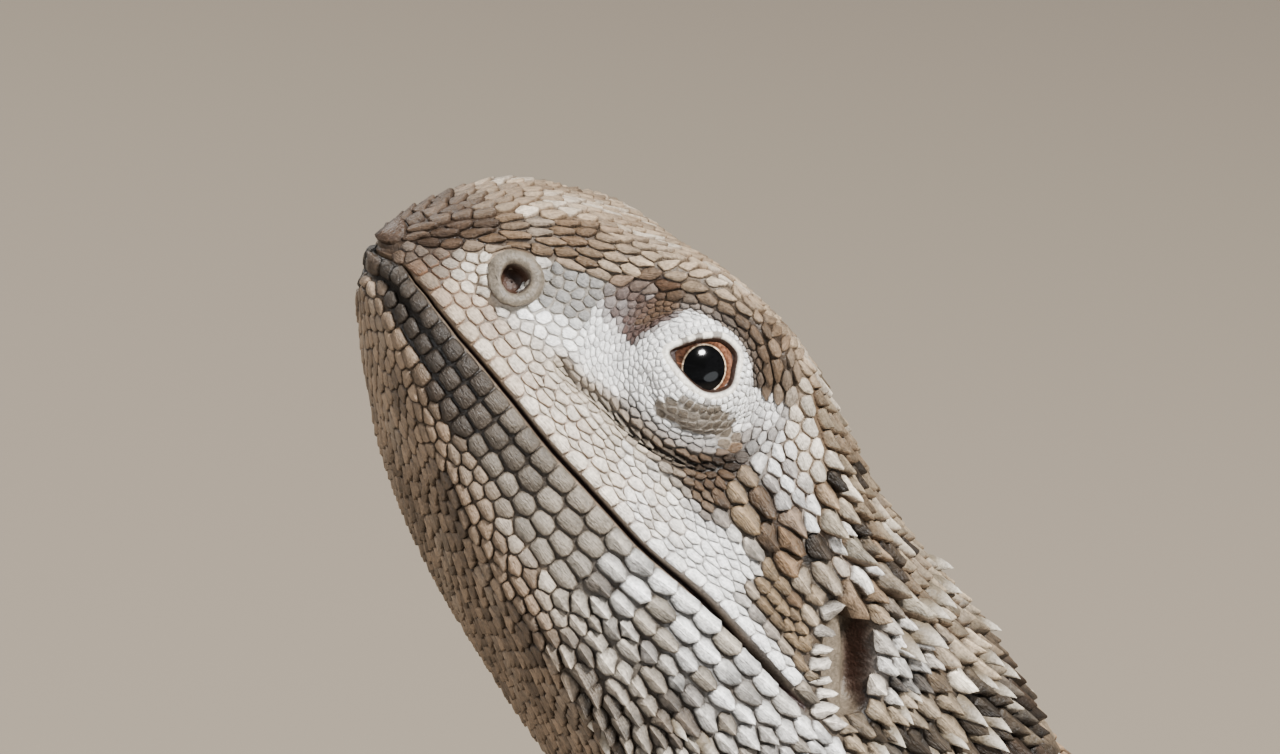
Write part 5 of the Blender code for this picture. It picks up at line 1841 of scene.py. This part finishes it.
def make_nostrils(material):
    turn = np.linspace(0, 2 * math.pi, 40, endpoint=False)
    both, tints = [], []
    for side in (1, -1):
        mirror = np.array((1, side, 1))
        rings = []
        for r, height in NOSTRIL_RING:
            wide = 1 + 0.04 * np.sin(3 * turn + 1.0) + 0.05 * np.cos(2 * turn)
            flat = NOSTRIL_SNOUTWARD * np.cos(turn)[:, None] + NOSTRIL_UP * np.sin(turn)[:, None]
            reach = np.maximum(r, NOSTRIL_INSIDE) * wide
            out = NOSTRIL_CENTRE + flat * reach[:, None] + NOSTRIL_OUT * 0.6
            base, normal, _ = head_surface.nearest(head_to_world(out * mirror))
            middle = base.mean(0)
            axis = unit(normal.mean(0))
            ring = base + normal * height
            if r < NOSTRIL_INSIDE:
                inward = (base - middle) * (r / NOSTRIL_INSIDE)
                inward -= axis * (inward @ axis)[:, None] * 0.5
                ring = middle + inward + axis * height
            rings.append(ring)
            # Painted shade down the hole, on its lip and round the ring's outer edge.
            painted_shade = ramp(height, 0.0, -0.5) * (r < 1)
            painted_shade = painted_shade + 0.25 * ramp(r, 1.0, 0.88) + 0.6 * ramp(r, 1.75, 1.9)
            tone = NOSTRIL_PALE + (NOSTRIL_SHADE - NOSTRIL_PALE) * np.clip(painted_shade, 0, 1)
            tints.append(np.broadcast_to(tone, ring.shape))
        found = np.array(grid_faces(len(rings), len(turn)))
        if side < 0:
            found = found[:, ::-1]
        both.append((np.vstack(rings), found))
    tinted_piece("nostril_rings", both, np.vstack(tints), material)


EAR_TEETH = 8
# The length, width, height, keel and lift of a scale at the ear's edge.
EAR_TOOTH = (1.0, 0.95, 0.2, 0.3, 0.6)
EAR_TOOTH_COLOUR = linear(0.72, 0.69, 0.65)


def ear_seeds():
    """Long pale scales along the front edge of each ear, reaching back over the opening."""
    groups = []
    for side in (1, -1):
        at = np.linspace(-0.92, 0.92, EAR_TEETH)
        at = at + random.uniform(-0.06, 0.06, EAR_TEETH)
        edge = -np.sqrt(np.maximum(1 - at**2, 0)) * EAR_OPENING[0] * 1.08 - 0.35
        local = EAR_CENTRE + edge[:, None] * EAR_WIDE + (at * EAR_OPENING[1])[:, None] * EAR_LONG
        local = local + (0, 2.0, 0)
        place, out, face = head_surface.nearest(head_to_world(local * (1, side, 1)))
        s, c = face_coordinates(face)
        astray = random.uniform(-0.5, 0.5, (EAR_TEETH, 1))
        over = head_direction((EAR_WIDE + astray * EAR_LONG) * (1, side, 1))
        back = flattened(over, out)
        seeds = head_seeds(s, c, place, out, back)
        seeds["back"] = back
        for name, value in zip(FORM_NAMES, EAR_TOOTH):
            seeds[name] = value * random.uniform(0.7, 1.3, len(s))
        seeds["colour"][:] = EAR_TOOTH_COLOUR
        groups.append(seeds)
    return groups


CONE_COLOUR = linear(0.44, 0.41, 0.36)
# The big conical scales over the temple on the left side, as (s, c, length).
CONES = [(28.6, 2.66, 2.2), (31.1, 2.5, 2.5), (34.5, 2.25, 2.7), (37.4, 2.1, 2.3), (32.6, 2.95, 1.9)]


def cone_seeds():
    groups = []
    for side in (1, -1):
        s, c, length = np.array(CONES).T
        seeds = head_seeds(s, on_side(c, side))
        seeds["length"] = length
        seeds["width"] = 0.78 * length
        seeds["height"][:], seeds["keel"][:], seeds["lift"][:] = 0.35, 0.85, 0.5
        seeds["colour"] = np.minimum(seeds["colour"], CONE_COLOUR)
        groups.append(seeds)
    return groups


# Spines and claws.

# Rows of spines on the left side, copied to the right: (first place, last place, how many, length,
# half width as a share of the length, lift). A place is (s, c); the lift from the skin is in degrees.
SPIKE_ROWS = [
    ((38.5, 2.6), (40.0, 0.8), 6, 2.3, 0.36, 38),
    ((40.5, 2.9), (42.0, 5.4), 6, 1.9, 0.38, 34),
    ((30.0, 6.3), (40.0, 6.1), 8, 1.8, 0.34, 26),
    ((27.0, 7.0), (39.5, 7.0), 9, 1.6, 0.32, 24),
    ((48.6, 1.4), (51.0, 4.4), 9, 2.5, 0.30, 36),
    ((46.0, 1.0), (46.5, 4.8), 9, 2.1, 0.32, 34),
    ((61.5, 1.2), (61.5, 5.0), 10, 2.3, 0.30, 34),
    ((50.4, 5.3), (48.0, 7.5), 7, 2.2, 0.30, 30),
    ((56.0, 5.0), (55.0, 7.3), 7, 1.9, 0.30, 28),
    ((75.5, 1.2), (77.5, 3.4), 8, 2.1, 0.30, 32),
    ((94.0, 4.55), (150.0, 4.35), 24, 3.9, 0.24, 34),
    ((97.0, 4.05), (148.0, 3.95), 18, 2.3, 0.26, 30),
    ((TAIL_ROOT_S + 4, 4.0), (TAIL_ROOT_S + 44, 4.0), 16, 2.3, 0.28, 28),
    ((TAIL_ROOT_S + 6, 3.0), (TAIL_ROOT_S + 46, 3.0), 13, 1.7, 0.28, 28),
]
# A spine's rings: (share of its length, share of its width), the first of them under the skin.
SPIKE_RINGS = [(-0.18, 1.0), (0.04, 1.0), (0.22, 0.82), (0.5, 0.52), (0.78, 0.24), (1.0, 0.02)]
SPIKE_SIDES = 8
SPIKE_BASE = linear(0.40, 0.36, 0.30)
SPIKE_TIP = linear(0.74, 0.71, 0.66)
# No spine stands nearer to an ear than this many times its opening.
SPINELESS_EAR = 1.45


def place_anywhere(s, c):
    """Skin points of the head, neck, trunk and tail, with the outward direction and the way back."""
    if s <= NECK_COAT_END:
        place, out, back = on_head(s, c)
        return place[0], out[0], back[0]
    i = int(np.searchsorted(GUIDE_ROWS, s))
    j = int(round(c / CORNERS * GUIDE_COLUMNS)) % GUIDE_COLUMNS
    surface = trunk if s < TAIL_COAT_START else tail
    place, out, _ = surface.nearest([guide_grid[i, j]])
    return place[0], out[0], unit(guide_grid[i + 1, j] - guide_grid[i, j])


def spike_list():
    """Every spine: (place, outward, back, length, half width as a share of it, angle) and its (s, c)."""
    found, at = [], []
    for start, stop, count, length, width, lift in SPIKE_ROWS:
        for side in (1, -1):
            for share in np.linspace(0, 1, count):
                s = start[0] + (stop[0] - start[0]) * share + random.uniform(-0.4, 0.4)
                c = start[1] + (stop[1] - start[1]) * share + random.uniform(-0.06, 0.06)
                c = on_side(c, side)
                place, out, back = place_anywhere(s, c)
                if ear_xy(world_to_head([place]), side)[1][0] < SPINELESS_EAR:
                    continue
                size = length * random.uniform(0.78, 1.12)
                angle = math.radians(lift + random.uniform(-7, 7))
                found.append((place, out, back, size, width, angle))
                at.append((s, c))
    return found, np.array(at)


def make_spikes(material):
    found, at = spike_list()
    turn = np.linspace(0, 2 * math.pi, SPIKE_SIDES, endpoint=False)
    faces = grid_faces(len(SPIKE_RINGS), SPIKE_SIDES)
    spines = []
    for place, out, back, size, half_width, angle in found:
        ahead = out * math.sin(angle) + back * math.cos(angle)
        side = unit(np.cross(out, back))
        up = np.cross(side, ahead)
        rings = []
        for share, wide in SPIKE_RINGS:
            bend = out * 0.10 * size * math.sin(math.pi * max(share, 0))
            ring = place + ahead * size * share + bend - out * 0.15
            width = size * half_width * wide
            round_it = np.cos(turn)[:, None] * side * 1.1 + np.sin(turn)[:, None] * up
            rings.append(ring + width * round_it)
        spines.append((np.vstack(rings), faces))
    share = np.array([ring[0] for ring in SPIKE_RINGS])[:, None]
    tone = SPIKE_BASE + (SPIKE_TIP - SPIKE_BASE) * ramp(share, 0.15, 0.9)
    # The ring under the skin is a quarter darker: painted shade where the spine meets the skin.
    tone = np.repeat(tone * (1 - 0.25 * (share < 0)), SPIKE_SIDES, 0)
    obj = tinted_piece("spines", spines, np.tile(tone, (len(found), 1)), material)
    x, y = (np.tile(way(turn), (len(found), len(SPIKE_RINGS))) for way in (np.cos, np.sin))
    put_map(obj, unwrapped({"s": at[:, 0], "c": at[:, 1]}, x, y).reshape(-1, 2))


# A claw's sections, as (share of its length, width, height, lift), and its grid.
CLAW = [(0, 0.8, 0.9, 0), (0.45, 0.62, 0.8, 0.25), (0.8, 0.36, 0.4, -0.1), (1, 0.14, 0.14, -0.45)]
CLAW_RINGS = 18
CLAW_SIDES = 12
CLAW_DARK = linear(0.16, 0.12, 0.10)
CLAW_PALE = linear(0.45, 0.37, 0.30)


def make_claws(material):
    faces = grid_faces(CLAW_RINGS, CLAW_SIDES)
    pale = ramp(np.linspace(0, 1, CLAW_RINGS), 0.45, 0.05)[:, None]
    tone = np.repeat(CLAW_DARK + (CLAW_PALE - CLAW_DARK) * pale, CLAW_SIDES, 0)
    for stations, side, heading, digits, names in LEGS:
        claws = []
        for turn_by, length, aside in digits:
            _, ahead, tip = digit_path(stations[-1, :3], heading, side, turn_by, length, aside)
            path = [(*(tip - ahead * 1.1), CLAW_RADIUS * 0.8, CLAW_RADIUS * 0.85)]
            for share, wide, tall, lift in CLAW:
                here = tip + ahead * CLAW_LENGTH * share + (0, 0, lift)
                path.append((*here, CLAW_RADIUS * wide * 0.95, CLAW_RADIUS * tall * 0.95))
            claws.append((tube(np.array(path), CLAW_RINGS, CLAW_SIDES).reshape(-1, 3), faces))
        tints = np.tile(tone, (len(claws), 1))
        obj = tinted_piece(f"claws_{names[2]}", claws, tints, material)
        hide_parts(*[f"{names[2]}_claw_{k}" for k in range(1, 6)])


# The coat, piece by piece.

# How far from the mouth, round the section, its inner sides end, and no scale's middle lies.
LIP_EDGE = 0.13
MOUTH_CLEARANCE = 0.12
# Where the head's surface hands over to the trunk's, and the trunk's to the tail's.
NECK_COAT_END = 60.0
TAIL_COAT_START = TAIL_ROOT_S + 9
# How far back over these seams scales are known to the next surface's.
SEAM_OVERLAP = 8


# How near a scale's middle may lie to the snout's single scales, to the lids' opening, to the nostrils'
# middles and to the ears' openings.
TIP_CLEARANCE = (1.5, 1.0)
OPENING_CLEARANCE = 0.3
NOSTRIL_CLEARANCE = 2.3
EAR_CLEARANCE = 1.15


def bare_places(centre, s, c):
    """Where no scale is thrown: in the mouth, the lids and the ears, on the nostrils, past the neck."""
    local = world_to_head(centre)
    round_c = half_section(c)
    bare = (s > NECK_COAT_END) | ((np.abs(round_c - MOUTH) < LIP_EDGE) & (s < MOUTH_CORNER - 1))
    bare |= (np.linalg.norm(local[:, None] - TIP_PLACES, axis=2) < TIP_CLEARANCE).any(1)
    for side in (1, -1):
        xy, r, front = eye_xy(local, side)
        bare |= (front > 0) & (r < 7) & (loop_distance(xy, EYE_LOOP) < OPENING_CLEARANCE)
        nostril = (NOSTRIL_CENTRE + NOSTRIL_OUT * 0.9) * (1, side, 1)
        bare |= np.linalg.norm(local - nostril, axis=1) < NOSTRIL_CLEARANCE
        _, reach, out = ear_xy(local, side)
        bare |= (reach < EAR_CLEARANCE) & (out > -6)
    return bare


def cover(surface, weight, seeds_at, given, tries):
    """New seeds all over a surface, spaced from the given ones."""
    count = sum(len(g["s"]) for g in given)
    seeds = scatter(surface, weight, seeds_at, given, tries)
    seeds = spread(surface, seeds, np.arange(len(seeds["s"])) < count, seeds_at, SPREAD_ROUNDS)
    return picked(seeds, slice(count, None))


def face_middles(surface):
    return surface.points[surface.padded].mean(1)


def outside_of(surface, seeds, depth):
    place, normal, _ = surface.nearest(seeds["place"])
    return ((seeds["place"] - place) * normal).sum(1) > -depth


def body_cover(surface, at, keep, given, tries):
    seeds = at(face_middles(surface), np.arange(len(surface.padded)))
    weight = surface.areas / (seeds["length"] * seeds["width"]) * keep(seeds)
    return cover(surface, weight, at, given, tries)


def between_scales(groove, colour):
    """The skin's own colour, which shows between its scales."""
    return groove * 0.6 + colour * 0.15


def skin_tints_of(surface, at):
    face = np.zeros(len(surface.points), int)
    for k in range(surface.padded.shape[1]):
        face[surface.padded[:, k]] = np.arange(len(surface.padded))
    seeds = at(surface.points, face)
    return between_scales(seeds["groove"], seeds["colour"])


# The mouth's line and the lids' opening: the inside's own dark colour, partly painted shade in the gaps.
GAP_DARK_AND_SHADE = linear(0.13, 0.075, 0.065)
EAR_PALE = linear(0.39, 0.35, 0.30)
EAR_DEEP_SHADE = linear(0.16, 0.10, 0.075)


def head_skin_tints():
    s, c = (v.ravel() for v in np.meshgrid(ROWS, COLUMNS, indexing="ij"))
    points = head_surface.points
    forms = head_forms(points, s, c)
    marked = head_marks(points, s, c, forms[:, 5:8])
    tints = between_scales(stained(forms, marked), marked)
    mouth = (np.abs(half_section(c) - MOUTH) < 0.05) & (s < MOUTH_CORNER)
    # The mouth's line and the skin round the lids' opening are dark, partly painted shade in these gaps.
    tints[mouth] = GAP_DARK_AND_SHADE
    tints[eye_reach(points)[1] < 0.2] = GAP_DARK_AND_SHADE
    local = world_to_head(points)
    for side in (1, -1):
        xy, reach, out = ear_xy(local, side)
        inside = ramp(reach, 1.1, 0.85) * (out > -7)
        # Where the opening is deepest, towards its rear, the ear is darkened with painted shade.
        tone = EAR_PALE + (EAR_DEEP_SHADE - EAR_PALE) * ramp(xy[:, 0], 0.4, 1.1)[:, None]
        tints += (tone - tints) * inside[:, None]
    return tints


def make_skin(material):
    surfaces = [head_surface, trunk, tail, feet]
    tints = [head_skin_tints(), skin_tints_of(trunk, on_trunk), skin_tints_of(tail, on_trunk_tail)]
    tints += [skin_tints_of(feet, on_feet)]
    points, faces = stacked([(surface.points, surface.faces) for surface in surfaces])
    by_corners = [np.array([f for f in faces if len(f) == corners]) for corners in (4, 3)]
    obj = mesh_object("skin", points, [f for f in by_corners if len(f)], material)
    put_tint(obj, np.clip(np.vstack(tints), 0, 1))
    flesh = ["head", "lower_jaw", "neck", "torso_front", "torso_rear"]
    flesh += [f"tail_{k}" for k in range(1, 6)]
    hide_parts(*flesh, *[name for leg in LEGS for name in leg[4]])


trunk = trunk_surface()
tail = tail_surface()
feet = feet_surface()
on_trunk = body_seeds_at(trunk)
on_trunk_tail = body_seeds_at(tail)
on_feet = body_seeds_at(feet, True)


def over_mouth(seeds):
    """Scattered scales that would lie across the mouth's line."""
    near = np.abs(half_section(seeds["c"]) - MOUTH) < MOUTH_CLEARANCE
    return near & (seeds["edge"] >= NO_EDGE) & (seeds["s"] > 1) & (seeds["s"] < MOUTH_CORNER)


# Rounds of throwing seeds on the head, trunk, tail and feet, and of moving them apart.
HEAD_TRIES = 70
TRUNK_TRIES = 75
TAIL_TRIES = 34
FEET_TRIES = 45
SPREAD_ROUNDS = 4
# Corners of the head's scales, of the neck's and of all the others'.
HEAD_SCALE_SIDES = 16
NECK_SCALE_SIDES = 10
BODY_SCALE_SIDES = 8
# Scales nearer to the lids' opening or to the snout's tip than this are left out.
LID_CLEARANCE = 0.42
SNOUT_CLEARANCE = 0.2
# Where the head's front coat ends, and its back coat.
FRONT_COAT_END = 17
BACK_COAT_END = 43


def head_coat_seeds():
    given = lip_seeds() + tip_seeds() + rim_seeds() + ear_seeds() + cone_seeds()
    middles = face_middles(head_surface)
    s, c = face_coordinates(np.arange(len(head_surface.faces)))
    forms = head_forms(middles, s, c)
    weight = head_surface.areas / (forms[:, 0] * forms[:, 1]) * ~bare_places(middles, s, c)
    head = joined(given + [cover(head_surface, weight, head_seeds_at, given, HEAD_TRIES)])
    off_lids = eye_reach(head["place"])[1] > LID_CLEARANCE
    return picked(head, off_lids & (head["s"] > SNOUT_CLEARANCE) & ~over_mouth(head))


def on_trunk_coat(seeds):
    return (seeds["s"] > NECK_COAT_END) & (seeds["s"] < TAIL_COAT_START) | (seeds["s"] >= LIMB_S)


def make_coat(material):
    head = head_coat_seeds()
    near = [picked(head, head["s"] > NECK_COAT_END - SEAM_OVERLAP)]
    body = body_cover(trunk, on_trunk, on_trunk_coat, near, TRUNK_TRIES)
    near = [picked(body, body["s"] > TAIL_COAT_START - SEAM_OVERLAP)]
    whip = body_cover(tail, on_trunk_tail, lambda t: t["s"] >= TAIL_COAT_START, near, TAIL_TRIES)
    paws = body_cover(feet, on_feet, lambda t: t["s"] > 0, [], FEET_TRIES)
    body = picked(body, outside_of(feet, body, 0.1))
    paws = picked(paws, outside_of(trunk, paws, 0.1))
    every = joined([head, body, whip, paws])
    every["tree"] = tree_of(every["place"])
    upper = half_section(head["c"]) < MOUTH
    foremost, front = head["s"] < FRONT_COAT_END, head["s"] < BACK_COAT_END
    on_limb = body["s"] >= LIMB_S
    for name, seeds, surface, sides in (
        ("head_scales_front", picked(head, upper & foremost), head_surface, HEAD_SCALE_SIDES),
        ("head_scales_back", picked(head, upper & front & ~foremost), head_surface, HEAD_SCALE_SIDES),
        ("jaw_scales", picked(head, ~upper & front), head_surface, HEAD_SCALE_SIDES),
        ("neck_scales", picked(head, ~front), head_surface, NECK_SCALE_SIDES),
        ("body_scales", picked(body, ~on_limb), trunk, BODY_SCALE_SIDES),
        ("limb_scales", picked(body, on_limb), trunk, BODY_SCALE_SIDES),
        ("tail_scales", whip, tail, BODY_SCALE_SIDES),
        ("foot_scales", paws, feet, BODY_SCALE_SIDES),
    ):
        coat(name, seeds, every, surface, sides, material)


skin_look = scale_material("scaly_skin", 0.42, 0.42, 0.8)
horn_look = scale_material("claw_horn", 0.3, 0.25, 0.3)
make_skin(skin_look)
make_coat(skin_look)
make_spikes(skin_look)
make_lid_margins(skin_look)
make_nostrils(skin_look)
make_claws(horn_look)
wet_look = eye_material()
for side, word in ((1, "left"), (-1, "right")):
    make_eye(side, word, wet_look)


# Stage.

CAMERA_AZIMUTH = math.radians(67.6)
CAMERA_HEIGHT = math.radians(18)
CAMERA_DISTANCE = 300.0
CAMERA_TARGET = (84.8, 7.0, 95.8)
CAMERA_LENS = 137.53
FLOOR_COLOUR = (0.198, 0.166, 0.127, 1)
SKY_COLOUR = (0.85, 0.845, 0.84, 1)
# The lamps' common aim, in metres, and each lamp's name, place, size, watts and colour.
LIT_PLACE = (0.082, 0.008, 0.096)
LIGHTS = [
    ("key", (-0.048, 0.417, 0.515), (0.12, 0.09), 14.0, (1.0, 0.98, 0.95)),
    ("low_window", (-0.055, 0.33, 0.102), (0.17, 0.10), 0.22, (0.9, 0.95, 1.0)),
    ("fill", (0.62, 0.30, 0.30), (0.35, 0.35), 3.0, (0.95, 0.97, 1.0)),
    ("rim", (0.25, -0.55, 0.55), (0.4, 0.4), 6.0, (1.0, 0.97, 0.93)),
]


def make_camera():
    camera = bpy.data.cameras.new("camera")
    camera.lens = CAMERA_LENS
    camera.sensor_width = 36
    camera.sensor_fit = "HORIZONTAL"
    camera.clip_start = 0.01
    camera.clip_end = 20
    obj = in_scene("camera", camera)
    target = Vector(CAMERA_TARGET) * MM
    level = math.cos(CAMERA_HEIGHT)
    across, along = level * math.cos(CAMERA_AZIMUTH), level * math.sin(CAMERA_AZIMUTH)
    away = Vector((across, along, math.sin(CAMERA_HEIGHT)))
    obj.location = target + away * CAMERA_DISTANCE * MM
    obj.rotation_euler = away.to_track_quat("Z", "Y").to_euler()
    bpy.context.scene.camera = obj


def area_light(name, place, size, watts, colour):
    light = bpy.data.lights.new(name, "AREA")
    light.shape = "ELLIPSE"
    light.size, light.size_y = size
    light.energy = watts
    light.color = colour
    obj = in_scene(name, light)
    obj.location = place
    obj.rotation_euler = (Vector(place) - Vector(LIT_PLACE)).to_track_quat("Z", "Y").to_euler()


def make_stage():
    bm = bmesh.new()
    bmesh.ops.create_grid(bm, x_segments=8, y_segments=8, size=6)
    mesh = bpy.data.meshes.new("floor")
    bm.to_mesh(mesh)
    bm.free()
    floor = in_scene("floor", mesh)
    mesh.materials.append(Look("pale_floor").finish(Base_Color=FLOOR_COLOUR, Roughness=0.9))
    world = bpy.data.worlds.new("studio")
    world.use_nodes = True
    sky = world.node_tree.nodes["Background"].inputs
    sky["Color"].default_value = SKY_COLOUR
    sky["Strength"].default_value = 0.5
    bpy.context.scene.world = world
    for light in LIGHTS:
        area_light(*light)


make_camera()
make_stage()
